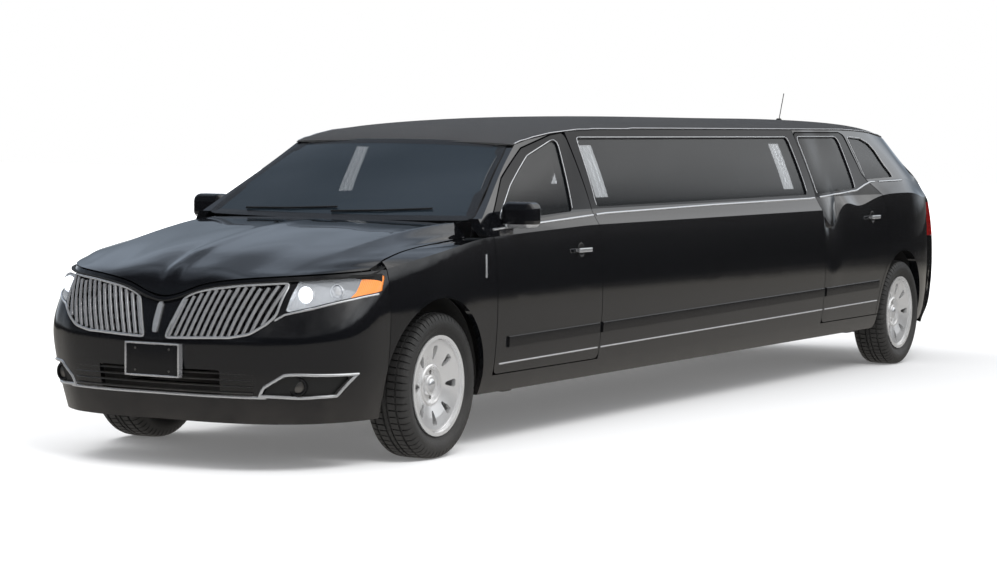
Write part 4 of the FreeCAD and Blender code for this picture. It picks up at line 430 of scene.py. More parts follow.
def new_piece(name, places, faces, finish, body, crease=40.0):
    """A mesh piece with its material that rides on a body."""
    mesh = bpy.data.meshes.new(name)
    mesh.from_pydata([tuple(p) for p in places], [], faces)
    work = bmesh.new()
    work.from_mesh(mesh)
    bmesh.ops.recalc_face_normals(work, faces=work.faces)
    for edge in work.edges:
        edge.smooth = len(edge.link_faces) == 2 and edge.calc_face_angle() < math.radians(crease)
    work.to_mesh(mesh)
    work.free()
    for face in mesh.polygons:
        face.use_smooth = True
    mesh.materials.append(mats[finish])
    piece = bpy.data.objects.new(name, mesh)
    bpy.context.scene.collection.objects.link(piece)
    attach(piece, body)
    return piece


def sweep(name, path, profile, finish, body="body", closed=False):
    """A profile of (across, out) along a path of (place, outward normal)."""
    count, width = len(path), len(profile)
    places, faces = [], []
    for i, (place, normal) in enumerate(path):
        before = path[i - 1][0] if i or closed else place
        after = path[(i + 1) % count][0] if i < count - 1 or closed else place
        across = (after - before).normalized().cross(normal).normalized()
        places += [place + across * a + normal * out for a, out in profile]
    for i in range(count if closed else count - 1):
        j = (i + 1) % count
        for m in range(width):
            n = (m + 1) % width
            faces.append((i * width + m, i * width + n, j * width + n, j * width + m))
    if not closed:
        faces += [tuple(range(width)), tuple(range((count - 1) * width, count * width))]
    return new_piece(name, places, faces, finish, body)


def half_round(width, height, root=0.004):
    """A low rounded rail."""
    return [(-width / 2, -root), (-width / 2, height * 0.35), (-width * 0.3, height * 0.85), (0, height),
            (width * 0.3, height * 0.85), (width / 2, height * 0.35), (width / 2, -root)]


def flat_rail(width, height, root=0.004):
    """A moulding with a flat face and soft edges."""
    half = [(width / 2, -root), (width / 2, height * 0.4), (width * 0.44, height * 0.9),
            (width * 0.36, height)]
    return [(-across, out) for across, out in half] + half[::-1]


def turned(name, place, axis, profile, finish, body="body", steps=40):
    """A round piece from a profile of (radius, along the axis)."""
    axis = Vector(axis).normalized()
    first = axis.orthogonal().normalized()
    second = axis.cross(first)
    places, faces = [], []
    for i in range(steps):
        angle = 2 * math.pi * i / steps
        way = first * math.cos(angle) + second * math.sin(angle)
        places += [Vector(place) + way * radius + axis * along for radius, along in profile]
    width = len(profile)
    for i in range(steps):
        j = (i + 1) % steps
        for m in range(width - 1):
            faces.append((i * width + m, i * width + m + 1, j * width + m + 1, j * width + m))
    return new_piece(name, places, faces, finish, body)


def along(points, step=0.04):
    """Points between the given ones, no further apart than a step."""
    made = []
    for a, b in zip(points, points[1:]):
        count = max(1, math.ceil(math.dist(a, b) / step))
        made += [tuple(p + (q - p) * i / count for p, q in zip(a, b)) for i in range(count)]
    return made + [tuple(points[-1])]


# %% [markdown]
# Some CAD nodes show two finishes, such as a door with its bright handle. A test on a face's middle
# and normal picks the faces that change.

# %% Faces in another finish


def repaint(name, finish, test):
    """Give the faces of a CAD node that pass a test another material."""
    mesh = nodes[name].data
    mesh.materials.append(mats[finish])
    count = 0
    for face in mesh.polygons:
        if test(face.center, face.normal):
            face.material_index = len(mesh.materials) - 1
            count += 1
    return count


# %% [markdown]
# The belt line, the wide moulding and the lower strip run along both sides. Each is given by a few
# points (x from the front axle, z).

# %% Lines along the sides
EDGES = FRONT_EDGE, B_POST, REAR_SHUT, REAR_EDGE = -0.555, -1.763, -5.065, -6.240
EDGE_ROOM = 0.005
SIDES = (("left", 1), ("right", -1))


def rider(x, side_name):
    """The body that carries the skin at a place along the car."""
    if B_POST < x < FRONT_EDGE:
        return "door_front_" + side_name
    if REAR_EDGE < x < REAR_SHUT:
        return "door_rear_" + side_name
    return "body"


def side_line(name, points, profile, finish):
    """A line along both sides, cut at the doors' edges."""
    made = 0
    for side_name, side in SIDES:
        run, owner = [], None
        for x, z in along(points) + [(None, None)]:
            here = rider(x, side_name) if x is not None else None
            near = x is not None and min(abs(x - e) for e in EDGES) < EDGE_ROOM
            if here != owner or near:
                if len(run) > 1:
                    sweep(f"{name}_{side_name}_{made}", run, profile, finish, owner)
                    made += 1
                run = []
            owner = here
            if x is not None and not near:
                place, normal = on_side(x, z, side)
                if place is not None:
                    run.append((place, normal))
    return made


MOULDING_WIDTH, MOULDING_HEIGHT = 0.060, 0.011
BELT_POINTS = [(-0.52, 1.134), (-1.913, 1.190), (-3.4, 1.204), (-4.95, 1.210), (-5.822, 1.249),
        (-6.0, 1.285), (-6.12, 1.303), (-6.741, 1.307)]
LINES = {
    "belt": (BELT_POINTS, half_round(0.013, 0.005), "chrome"),
    "moulding": ([(-0.68, 0.548), (-1.774, 0.558), (-5.082, 0.588), (-6.05, 0.597)],
        flat_rail(MOULDING_WIDTH, MOULDING_HEIGHT), "trim"),
    "door_strip": ([(-0.60, 0.436), (-1.775, 0.446), (-5.083, 0.472), (-6.05, 0.480)],
        half_round(0.009, 0.005), "satin"),
}
for label, (points, profile, finish) in LINES.items():
    print(label, side_line(label, points, profile, finish), "runs")

# %% [markdown]
# The drip line follows the lowest edge of the roof that a ray from the side can see.

# %% Drip line
DRIP_FROM, DRIP_TO, DRIP_POINTS = -1.22, -6.95, 90
DRIP_LIFT = Vector((0, 0, 0.004))
SEARCH_FROM, SEARCH_STEP, SEARCH_STEPS = 1.54, 0.004, 60


def roof_edge(x, side):
    """The lowest point of the roof's side at a place along the car."""
    for i in range(SEARCH_STEPS):
        z = SEARCH_FROM + i * SEARCH_STEP
        place, normal = cast(top_skin, (FRONT_AXLE_X + x, side * 2, z), (0, -side, 0))
        if place is not None and abs(normal.y) > 0.25:
            return place
    return None


for side_name, side in SIDES:
    out = Vector((0, side, 0.25)).normalized()
    spots = [roof_edge(DRIP_FROM + (DRIP_TO - DRIP_FROM) * i / (DRIP_POINTS - 1), side)
             for i in range(DRIP_POINTS)]
    path = [(place + DRIP_LIFT, out) for place in spots if place is not None]
    sweep("drip_line_" + side_name, path, half_round(0.007, 0.005), "satin")
print("drip line", len(path), "points")

# %% [markdown]
# Each pane has a thin bright surround. The rim of its outer face gives the line; a ray then finds
# the frame beside it.

# %% Window surrounds


def rims(name, facing, least=0.4):
    """The closed rims of a node's faces that look a given way."""
    work = bmesh.new()
    work.from_mesh(nodes[name].data)
    bmesh.ops.remove_doubles(work, verts=work.verts, dist=1e-5)
    facing = Vector(facing).normalized()
    chosen = {f for f in work.faces if f.normal.dot(facing) > least}
    near = {}
    for edge in work.edges:
        if sum(f in chosen for f in edge.link_faces) == 1:
            a, b = edge.verts
            near.setdefault(a, []).append(b)
            near.setdefault(b, []).append(a)
    loops, seen = [], set()
    for start in list(near):
        if start in seen:
            continue
        loop, here = [], start
        while here is not None and here not in seen:
            seen.add(here)
            loop.append(here.co.copy())
            here = next((v for v in near[here] if v not in seen), None)
        if len(loop) > 8:
            loops.append(loop)
    work.free()
    return loops


def even(loop, step):
    """A closed loop's points at an even spacing."""
    ends = loop[1:] + loop[:1]
    total = sum((b - a).length for a, b in zip(loop, ends))
    count = max(8, round(total / step))
    made, passed, due = [], 0.0, 0.0
    for a, b in zip(loop, ends):
        length = (b - a).length
        while due < passed + length and len(made) < count:
            made.append(a.lerp(b, (due - passed) / length))
            due += total / count
        passed += length
    return made


SURROUND_OFFSET, SURROUND_INSET = 0.007, 0.009


def surround(name, side, body, profile, finish):
    """A line round a pane, laid on the frame beside it; its lower run is left to the belt line."""
    offset, inset, way = SURROUND_OFFSET, SURROUND_INSET, Vector((0, side, 0))
    for number, loop in enumerate(rims(name, (0, side, 0))):
        if loop[0].y * side < 0:
            continue
        points = even(loop, 0.022)
        middle = sum(points, Vector()) / len(points)
        runs = [(points[(k + 1) % len(points)] - points[k - 1]).cross(way) for k in range(len(points))]
        turn = -1 if sum((p - middle).dot(out) for p, out in zip(points, runs)) < 0 else 1
        path, kept = [], []
        for place, out in zip(points, runs):
            out = out.normalized() * turn
            spot = place + out * offset
            hit, normal = cast(side_skin, (spot.x, side * 2, spot.z), -way)
            if hit is None or abs(hit.y - place.y) > 0.02:
                hit, normal = spot + way * inset, Vector((0, side, 0.2)).normalized()
            path.append((hit, normal))
            kept.append(out.z > -0.75)
        start = next((i for i in range(len(kept)) if kept[i] and not kept[i - 1]), 0)
        path, kept = path[start:] + path[:start], kept[start:] + kept[:start]
        run = [spot for spot, keep in zip(path, kept) if keep]
        sweep(f"surround_{name}_{side}_{number}", run, profile, finish, body, closed=all(kept))


for side_name, side in SIDES:
    thin = half_round(0.0055, 0.004)
    surround("glass_front_" + side_name, side, "door_front_" + side_name, thin, "chrome")
    surround("glass_rear_" + side_name, side, "door_rear_" + side_name, thin, "chrome")
    surround("side_glass", side, "body", thin, "chrome")

# %% [markdown]
# A flat black border covers the windscreen's edge.

# %% Windscreen border
SCREEN_NORMAL = Vector((0.48, 0, 0.88)).normalized()
for number, loop in enumerate(rims("windscreen", (0.6, 0, 0.8), 0.3)):
    path = [(place, SCREEN_NORMAL) for place in even(loop, 0.03)]
    border = [(-0.026, -0.006), (-0.026, 0.002), (0.0, 0.003), (0.026, 0.002), (0.026, -0.006)]
    sweep(f"screen_border_{number}", path, border, "trim", closed=True)

# %% [markdown]
# On the nose a ray from the front finds the skin. A line under each lamp, a bezel round each fog lamp,
# a lower line and the bars of the mouth are laid there.

# %% Nose lines


def nose_path(points, gap=None):
    """Points (y, z) laid on the nose; gap gives two heights that bridge an opening."""
    path = []
    for y, z in along(points, 0.03):
        hits = [on_nose(y, height) for height in (gap or (z,))]
        hits = [(p, n) for p, n in hits if p is not None]
        if not hits:
            continue
        place = sum((p for p, n in hits), Vector()) / len(hits)
        normal = sum((n for p, n in hits), Vector()).normalized()
        path.append((Vector((place.x, y, z)), normal))
    return path


UNDER_LAMP = [(0.615, 0.742), (0.652, 0.770), (0.750, 0.797), (0.861, 0.838), (0.902, 0.857)]
BEZEL = [(0.553, 0.381), (0.813, 0.379), (0.870, 0.474), (0.667, 0.4745), (0.580, 0.4216)]
for side_name, side in SIDES:
    under_lamp = [(side * y, z) for y, z in UNDER_LAMP]
    sweep("lamp_line_" + side_name, nose_path(under_lamp), half_round(0.010, 0.005), "chrome")
    ring = along([(side * y, z) for y, z in BEZEL + BEZEL[:1]], 0.02)[:-1]
    middle = Vector((0, sum(p[0] for p in ring) / len(ring), sum(p[1] for p in ring) / len(ring)))
    path = []
    for y, z in ring:
        away = (Vector((0, y, z)) - middle).normalized() * 0.010
        place, normal = on_nose(y + away.y, z + away.z)
        if place is not None:
            path.append((place, normal))
    sweep("fog_bezel_" + side_name, path, half_round(0.015, 0.008), "chrome", closed=True)

LOWER_LINE_Y, LOWER_LINE_Z = 0.575, 0.371
MOUTH_Y, MOUTH_HEIGHTS, MOUTH_GAP = 0.52, (0.392, 0.422, 0.452, 0.482), (0.366, 0.512)
path = nose_path([(-LOWER_LINE_Y, LOWER_LINE_Z), (LOWER_LINE_Y, LOWER_LINE_Z)])
sweep("lower_line", path, half_round(0.014, 0.008), "chrome")
for number, z in enumerate(MOUTH_HEIGHTS):
    path = nose_path([(-MOUTH_Y, z), (MOUTH_Y, z)], gap=MOUTH_GAP)
    sweep(f"mouth_bar_{number}", path, half_round(0.006, 0.008, 0.012), "steel")

# %% [markdown]
# Bright bars stand at seventeen places along each wing, wherever the outline leaves room for one.
# They lean as the wing's inner edge does, and bow with the nose, before the CAD's dark lattice.

# %% Wing bars
WING = [(0.0566, 0.642), (0.419, 0.6515), (0.519, 0.673), (0.595, 0.725), (0.628, 0.768), (0.6435, 0.921),
        (0.4095, 0.906), (0.273, 0.888), (0.185, 0.866), (0.125, 0.836)]
LATTICE_PITCH = (0.628 - 0.0566) / 34
WING_BARS = 17
BAR_LEAN = (0.125 - 0.0566) / (0.836 - 0.642)


def inside(y, z, margin):
    """Whether a place lies in the wing's outline, away from its edges by a margin."""
    for (ay, az), (by, bz) in zip(WING, WING[1:] + WING[:1]):
        length = math.hypot(by - ay, bz - az)
        if ((by - ay) * (z - az) - (bz - az) * (y - ay)) / length < margin:
            return False
    return True


def lattice_x(y, z, side):
    """Depth of the lattice's front, between its two nearest bars."""
    row = (y - WING[0][0]) / LATTICE_PITCH - 0.5
    first = min(32, max(1, math.floor(row)))
    depths = [on_nose(side * (WING[0][0] + LATTICE_PITCH * (first + k + 0.5)), z) for k in (0, 1)]
    depths = [p.x if p is not None else None for p, n in depths]
    if None in depths or abs(depths[0] - depths[1]) > 0.03:
        return None
    return depths[0] + (depths[1] - depths[0]) * min(1.0, max(0.0, row - first))


def cut_corners(points):
    """A closed outline with its corners cut."""
    made = []
    for a, b in zip(points, points[1:] + points[:1]):
        share = min(0.25, 0.012 / math.dist(a, b))
        made += [tuple(p + (q - p) * part for p, q in zip(a, b)) for part in (share, 1 - share)]
    return made


RIM_INSET, RIM_JUMP = 0.006, 0.03
WING_OUTLINE = cut_corners(cut_corners(WING))
bar_count = 0
for side_name, side in SIDES:
    for k in range(WING_BARS):
        foot = WING[0][0] + (WING[4][0] - WING[0][0] + 0.03) * (k + 0.6) / WING_BARS
        spots = []
        for i in range(60):
            z = 0.640 + 0.29 * i / 59
            y = foot + BAR_LEAN * (z - WING[0][1])
            x = lattice_x(y, z, side) if inside(y, z, 0.009) else None
            if x is not None:
                spots.append((x, y, z))
        if len(spots) < 4:
            continue
        bow = np.polyfit([z for x, y, z in spots], [x for x, y, z in spots], 2)
        out = Vector((1, side * 0.25, 0.15)).normalized()
        path = [(Vector((np.polyval(bow, z) + 0.001, side * y, z)), out) for x, y, z in spots[::3]]
        sweep(f"wing_bar_{side_name}_{k}", path, half_round(0.0165, 0.008, 0.010), "satin")
        bar_count += 1
    outline = along(WING_OUTLINE + WING_OUTLINE[:1], 0.02)[:-1]
    middle = [sum(values) / len(outline) for values in zip(*outline)]
    path = []
    for y, z in outline:
        share = RIM_INSET / math.hypot(y - middle[0], z - middle[1])
        place, normal = on_nose(side * (y + (middle[0] - y) * share), z + (middle[1] - z) * share)
        if place is not None and (not path or abs(path[-1][0].x - place.x) < RIM_JUMP):
            path.append((place, normal))
    sweep("wing_rim_" + side_name, path, half_round(0.012, 0.005), "chrome", closed=True)


# %% [markdown]
# A dark seal lies on the body under the front and the sides of the hood's edge, and a dark lip hangs under
# the hood behind its nose. Both are black strips that also stand in for the shade in the gap under the
# hood's edge. Both stop short of the hinge, so that the hood clears them.

# %% Hood seal and lip, black fills for the shade under the hood's edge


def part_of_loop(points, test):
    """The points of a closed loop that pass a test, in order, as one open run."""
    marks = [test(p) for p in points]
    if all(marks):
        return points
    start = next(i for i in range(len(points)) if marks[i] and not marks[i - 1])
    ordered = points[start:] + points[:start]
    return [p for p, mark in zip(ordered, marks[start:] + marks[:start]) if mark]


# Name, body, how far back it runs, its place inside and under the rim, half its width, low, high
HOOD_STRIPS = (("hood_seal", "body", -0.33, 0.004, -0.024, 0.030, -0.006, 0.0),
        ("hood_lip", "hood", 0.45, 0.055, 0.0, 0.002, -0.034, 0.004))
UP = Vector((0, 0, 1))
# Both strips are black, painted shade that fills the gap under the hood's edge.
for number, loop in enumerate(rims("hood", UP, 0.2)):
    points = even(loop, 0.03)
    if len(points) < 40:
        continue
    middle = sum(points, Vector()) / len(points)
    for name, body, back, inset, drop, half, low, high in HOOD_STRIPS:
        run = part_of_loop(points, lambda p: p.x > FRONT_AXLE_X + back)
        path = [(p + UP * drop + (middle - p).normalized() * inset, UP) for p in run]
        profile = [(-half, low), (-half, high), (half, high), (half, low)]
        sweep(f"{name}_{number}", path, profile, "plastic", body)
BLADE_HALF = 0.022
blade = repaint("grille", "chrome", lambda c, n: abs(c.y) < BLADE_HALF)
print("wing bars", bar_count, "blade faces", blade)

# %% [markdown]
# The plate stands on a holder before the mouth. It is blank, with a bright frame and four screws.

# %% Blank plate
PLATE_HALF, PLATE_LOW, PLATE_HIGH, PLATE_STAND = 0.156, 0.458, 0.614, 0.018
plate_x = max(on_nose(y, z)[0].x for y in (-0.15, 0, 0.15) for z in (0.52, 0.60)) + PLATE_STAND


def rounded_box(name, low, high, radius, finish, body, sink=0.0):
    """A block with rounded edges; sink sets its large faces in as panels."""
    low, high = Vector(low), Vector(high)
    work = bmesh.new()
    bmesh.ops.create_cube(work, size=1.0)
    for vert in work.verts:
        vert.co = (low + high) / 2 + Vector([c * s for c, s in zip(vert.co, high - low)])
    if sink:
        sides = [f for f in work.faces if f.calc_area() > 0.15]
        bmesh.ops.inset_individual(work, faces=sides, thickness=0.03)
        bmesh.ops.inset_individual(work, faces=sides, thickness=0.006, depth=-sink)
    edges = [e for e in work.edges if len(e.link_faces) == 2 and e.calc_face_angle() > 1.2]
    bmesh.ops.bevel(work, geom=edges, offset=radius, segments=3, affect="EDGES", profile=0.5)
    mesh = bpy.data.meshes.new(name)
    work.to_mesh(mesh)
    work.free()
    places = [v.co.copy() for v in mesh.vertices]
    return new_piece(name, places, [tuple(p.vertices) for p in mesh.polygons], finish, body)


PLATE_THICK, HOLDER_DEPTH, HOLDER_INSET, SCREW_Y, SCREW_INSET = 0.004, 0.06, 0.02, 0.10, 0.025
rounded_box("plate", (plate_x, -PLATE_HALF, PLATE_LOW), (plate_x + PLATE_THICK, PLATE_HALF, PLATE_HIGH),
            0.0015, "trim", "body")
rounded_box("plate_holder", (plate_x - HOLDER_DEPTH, HOLDER_INSET - PLATE_HALF, PLATE_LOW + HOLDER_INSET),
            (plate_x, PLATE_HALF - HOLDER_INSET, PLATE_HIGH - HOLDER_INSET), 0.004, "plastic", "body")
rim = [(-PLATE_HALF, PLATE_LOW), (PLATE_HALF, PLATE_LOW), (PLATE_HALF, PLATE_HIGH),
       (-PLATE_HALF, PLATE_HIGH)]
path = [(Vector((plate_x, y, z)), Vector((1, 0, 0))) for y, z in along(rim + rim[:1], 0.05)[:-1]]
edge = [(0.002, 0.011), (0.005, 0.008), (0.005, -0.022)]
sweep("plate_frame", path, [(-a, out) for a, out in edge[::-1]] + edge, "satin", closed=True)
for y in (-SCREW_Y, SCREW_Y):
    for z in (PLATE_LOW + SCREW_INSET, PLATE_HIGH - SCREW_INSET):
        turned(f"plate_screw_{y}_{z:.2f}".replace("-", "m"), (plate_x + PLATE_THICK, y, z), (1, 0, 0),
               [(0.006, 0.0), (0.006, 0.0015), (0.003, 0.003), (0.0, 0.003)], "steel", "body", 12)

# %% [markdown]
# Behind each headlamp's cover sit two bowls, a lit one and a plain one, with a dark wall behind them.
# Each fog lamp is a small lens in a dark ring.

# %% Lamps in the nose
LAMPS = ((0.705, 0.862, 0.034, "glow"), (0.800, 0.874, 0.030, "reflector"))
FOG_Y, FOG_Z = 0.700, 0.425
HOUSING_TOP = [(0.640, 0.929), (0.665, 0.937), (0.829, 0.951), (0.893, 0.954)]
HOUSING_FOOT, HOUSING_SIGHT, HOUSING_BACKS = 0.755, 0.86, (0.085, 0.089)
for side_name, side in SIDES:
    for number, (y, z, radius, finish) in enumerate(LAMPS):
        place, normal = on_nose(side * y, z)
        seat = Vector((place.x - 0.012, side * y, z))
        turned(f"lamp_bowl_{side_name}_{number}", seat, (1, 0, 0),
               [(radius * 1.25, 0.0), (radius * 1.2, 0.004), (radius * 1.1, 0.0), (radius * 0.95, -0.03),
                (radius * 0.4, -0.05), (0.0, -0.052)], "reflector", "body")
        turned(f"lamp_lens_{side_name}_{number}", seat, (1, 0, 0),
               [(radius * 0.98, -0.012), (radius * 0.95, 0.0), (radius * 0.7, 0.012),
                (radius * 0.35, 0.018), (0.0, 0.020)], finish, "body")
    place, normal = on_nose(side * FOG_Y, FOG_Z)
    seat = Vector((place.x, side * FOG_Y, FOG_Z))
    turned("fog_ring_" + side_name, seat, (1, side * 0.25, 0),
           [(0.046, -0.03), (0.046, 0.006), (0.041, 0.010), (0.034, 0.006), (0.032, -0.02)], "trim",
           "body")
    turned("fog_lamp_" + side_name, seat, (1, side * 0.25, 0),
           [(0.033, -0.012), (0.031, -0.002), (0.020, 0.003), (0.0, 0.005)], "steel", "body")
    places, faces = [], []
    for y, z in along(HOUSING_TOP, 0.03):
        place, normal = on_nose(side * y, HOUSING_SIGHT)
        for back in HOUSING_BACKS:
            places += [Vector((place.x - back, side * y, height)) for height in (HOUSING_FOOT, z)]
    for i in range(0, len(places) - 4, 4):
        for a, b in ((0, 1), (1, 3), (3, 2), (2, 0)):
            faces.append((i + a, i + b, i + 4 + b, i + 4 + a))
    new_piece("lamp_housing_" + side_name, places, faces, "plastic", "body")
print("plate and lamps done")

# %% [markdown]
# A short blade stands on each front fender, and each door handle has a cup in the skin behind it.

# %% Side pieces
HANDLES = (("front", -1.520, 0.999), ("rear", -5.945, 1.065))
HANDLE_HALF, HANDLE_RISE, HANDLE_STAND, HANDLE_CLEAR = 0.085, 0.0135, 0.004, 0.045
CUP = [(0.041, -0.006), (0.041, 0.0015), (0.037, 0.003), (0.033, 0.0015), (0.02, 0.0008), (0.0, 0.0008)]
MIRROR_LINE, MARKER_FROM = 0.022, 0.852
for side_name, side in SIDES:
    path = [on_side(-0.438 - 0.012 * t, 0.895 + 0.12 * t, side) for t in (0.0, 0.25, 0.5, 0.75, 1.0)]
    sweep("fender_blade_" + side_name, path, half_round(0.014, 0.006), "chrome")
    for label, x, z in HANDLES:
        above, normal = on_side(x, z + HANDLE_CLEAR, side)
        below, _ = on_side(x, z - HANDLE_CLEAR, side)
        middle = (above + below) / 2
        door = f"door_{label}_{side_name}"
        turned(f"handle_cup_{label}_{side_name}", middle, normal, CUP, "trim", door)
        count = repaint(door, "chrome", lambda c, n: abs(c.x - FRONT_AXLE_X - x) < HANDLE_HALF
                and abs(c.z - z) < HANDLE_RISE and abs(c.y) > abs(middle.y) + HANDLE_STAND)
        print("handle faces", label, side_name, count)
    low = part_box("mirror_" + side_name)[0][2]
    repaint("mirror_" + side_name, "chrome", lambda c, n: c.z < low + MIRROR_LINE and n.z < 0.3)
print("marker faces", repaint("headlamps", "amber", lambda c, n: abs(c.y) > MARKER_FROM))

# %% [markdown]
# ## Wheels
# The plain tyres give way to ones with shoulder blocks and grooves of the same size. A disc, bolts
# and a domed cap fill each wheel.

# %% Tyres
TYRE_RADIUS, TYRE_HALF, WHEEL_Y = 0.370, 0.120, 0.8415
TREAD_DEPTH = 0.008
# Across as a share of half the width, radius as a share of the tyre's, and how deep the cross cuts go
TYRE_SHARES = [(0.79, 0.649, 0), (0.80, 0.700, 0), (0.86, 0.735, 0), (0.865, 0.742, 0),
        (0.93, 0.770, 0), (0.975, 0.805, 0), (1.0, 0.845, 0), (0.992, 0.875, 0),
        (0.980, 0.888, 0), (0.984, 0.890, 0.35), (0.966, 0.912, 0.5), (0.925, 0.940, 0.9),
        (0.87, 0.966, 1), (0.80, 0.982, 1), (0.70, 0.992, 1), (0.60, 0.9955, 1),
        (0.585, 0.972, 0), (0.515, 0.972, 0), (0.50, 0.998, 1), (0.32, 0.9995, 1),
        (0.17, 1.0, 1), (0.155, 0.975, 0), (0.085, 0.975, 0), (0.07, 1.0, 0.5)]
PITCHES = 64
PITCH_STOPS = ((0.0, 0), (0.035, 1), (0.17, 1), (0.205, 0))
PITCH_SLANT = 0.22


def tread(name, x, side, wheel):
    """A tyre with blocks, grooves and a rim band, in place of the plain one."""
    rows = TYRE_SHARES + [(-a, r, c) for a, r, c in reversed(TYRE_SHARES)]
    rows += [(-0.68, 0.6485, 0), (0.68, 0.6485, 0)]
    width = len(rows)
    places, faces = [], []
    centre = Vector((x, side * WHEEL_Y, TYRE_RADIUS))
    rings = PITCHES * len(PITCH_STOPS)
    for i in range(rings):
        share, cut = PITCH_STOPS[i % len(PITCH_STOPS)]
        for a, r, depth in rows:
            slant = PITCH_SLANT * (1 - abs(a)) * (1 if a > 0 else -1)
            angle = 2 * math.pi * (i // len(PITCH_STOPS) + share + slant) / PITCHES
            radius = TYRE_RADIUS * r - TREAD_DEPTH * depth * cut
            places.append(centre + Vector((radius * math.cos(angle), side * a * TYRE_HALF,
                    radius * math.sin(angle))))
    for i in range(rings):
        j = (i + 1) % rings
        for m in range(width):
            n = (m + 1) % width
            faces.append((i * width + m, i * width + n, j * width + n, j * width + m))
    return new_piece(name, places, faces, "rubber", wheel, crease=24.0)


DISC = [(0.070, 0.004), (0.070, -0.026), (0.160, -0.026), (0.160, -0.046), (0.074, -0.046),
        (0.062, -0.040), (0.062, 0.004), (0.070, 0.004)]
CAP = [(0.034, -0.004), (0.034, 0.003), (0.030, 0.006), (0.022, 0.009), (0.012, 0.0105), (0.0, 0.011)]
BOLT = [(0.0095, -0.02), (0.0095, 0.008), (0.008, 0.011), (0.0, 0.012)]
CAP_OUT, BOLT_COUNT, BOLT_CIRCLE, BOLT_OUT = 0.061, 5, 0.0673, 0.030
for corner_name, x in (("front", FRONT_AXLE_X), ("rear", REAR_AXLE_X)):
    for side_name, side in SIDES:
        tag = f"{corner_name}_{side_name}"
        wheel = "wheel_" + tag
        piece = tread("tread_" + tag, x, side, wheel)
        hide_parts("tyre_" + tag)
        hub = Vector((x, side * WHEEL_Y, TYRE_RADIUS))
        out = Vector((0, side, 0))
        turned("brake_disc_" + tag, hub, out, DISC, "steel", wheel, 48)
        turned("wheel_cap_" + tag, hub + out * CAP_OUT, out, CAP, "chrome", wheel, 32)
        for k in range(BOLT_COUNT):
            angle = 2 * math.pi * (k + 0.5) / BOLT_COUNT
            spot = hub + Vector((BOLT_CIRCLE * math.cos(angle), side * BOLT_OUT,
                    BOLT_CIRCLE * math.sin(angle)))
            turned(f"wheel_bolt_{tag}_{k}", spot, out, BOLT, "steel", wheel, 6)

# %% [markdown]
# ## Seats
# Each cushion is a crowned closed form: its sides pull in between the corners, sewn channels run
# along it and a piping follows its edge. They stand where the CAD blocks stand.

# %% Cushions
CUSHION_GRID = 26
CORNER_POWER = 7.0
SIDE_PULL, GROOVE_DEPTH = 0.035, 0.009
PIPING = [(-0.003, -0.002), (-0.003, 0.003), (0.0, 0.005), (0.003, 0.003), (0.003, -0.002)]


def cushion(name, centre, size, lean=0.0, channels=5, crown=0.022):
    """A padded block: size is (depth, width, thickness) with the thickness along its own up."""
    work = bmesh.new()
    bmesh.ops.create_grid(work, x_segments=CUSHION_GRID, y_segments=CUSHION_GRID, size=1.0)
    top = [(v.co.x, v.co.y) for v in work.verts]
    quads = [tuple(v.index for v in f.verts) for f in work.faces]
    work.free()
    count = len(top)
    turn = Matrix.Rotation(lean, 3, "Y")
    places, faces = [], []
    for level in (1, -1):
        for u, v in top:
            edge = max(abs(u), abs(v))
            scale = 1 - SIDE_PULL * (1 - min(abs(u), abs(v)) ** 2) * edge ** 6
            shape = (1 - abs(u) ** CORNER_POWER) ** 0.5 * (1 - abs(v) ** CORNER_POWER) ** 0.5
            height = level * (size[2] / 2 - crown) * (0.18 + 0.82 * shape)
            if level > 0:
                groove = abs(math.sin(math.pi * channels * (v + 1) / 2)) ** 0.35
                height += crown * (1 - u * u) * (1 - v * v) - GROOVE_DEPTH * (1 - groove) * shape
            local = Vector((u * size[0] / 2 * scale, v * size[1] / 2 * scale, height))
            places.append(Vector(centre) + turn @ local)
    for quad in quads:
        faces.append(quad)
        faces.append(tuple(count + i for i in reversed(quad)))
    side = CUSHION_GRID + 1
    rim = list(range(side)) + [side * (i + 1) - 1 for i in range(1, side)]
    rim += [count - 1 - i for i in range(1, side)] + [side * (side - 1 - i) for i in range(1, side - 1)]
    for a, b in zip(rim, rim[1:] + rim[:1]):
        faces.append((a, b, count + b, count + a))
    piece = new_piece(name, places, faces, "leather", "body", crease=70.0)
    path = []
    for i in rim[::2]:
        u, v = top[i]
        out = turn @ Vector((u if abs(u) >= abs(v) else 0, v if abs(v) >= abs(u) else 0, 0)).normalized()
        path.append((places[i], out))
    welt = sweep(name + "_piping", path, PIPING, "leather", closed=True)
    return piece, welt


BACK_LEAN = -math.pi / 2 - math.atan(0.32)
FLOOR_Z, FRONT_SEAT_X = 0.3255, 2.217
made = []
for label, y in (("right", -0.38), ("left", 0.38)):
    seat = f"seat_{label}_"
    made.append(cushion(seat + "cushion", (FRONT_SEAT_X - 0.26, y, 0.555), (0.52, 0.52, 0.15)))
    made.append(cushion(seat + "back", (1.625, y, 0.825), (0.66, 0.50, 0.13), BACK_LEAN))
    made.append(cushion(seat + "head", (1.468, y, 1.215), (0.15, 0.25, 0.075), BACK_LEAN, 1, 0.008))
    rounded_box(seat + "base", (FRONT_SEAT_X - 0.44, y - 0.16, FLOOR_Z),
                (FRONT_SEAT_X - 0.10, y + 0.16, 0.492), 0.012, "plastic", "body")
    for letter, offset in (("a", -0.05), ("b", 0.05)):
        turned(f"{seat}post_{letter}", (1.473, y + offset, 1.08), (0, 0, 1),
               [(0.0, 0.0), (0.006, 0.0), (0.006, 0.09), (0.0, 0.09)], "satin", "body", 12)
BENCH_FROM, BENCH_TO, BENCH_COUNT, BENCH_BACK = -1.66, 1.06, 4, Vector((0, -0.765, 0.85))
step = (BENCH_TO - BENCH_FROM) / BENCH_COUNT
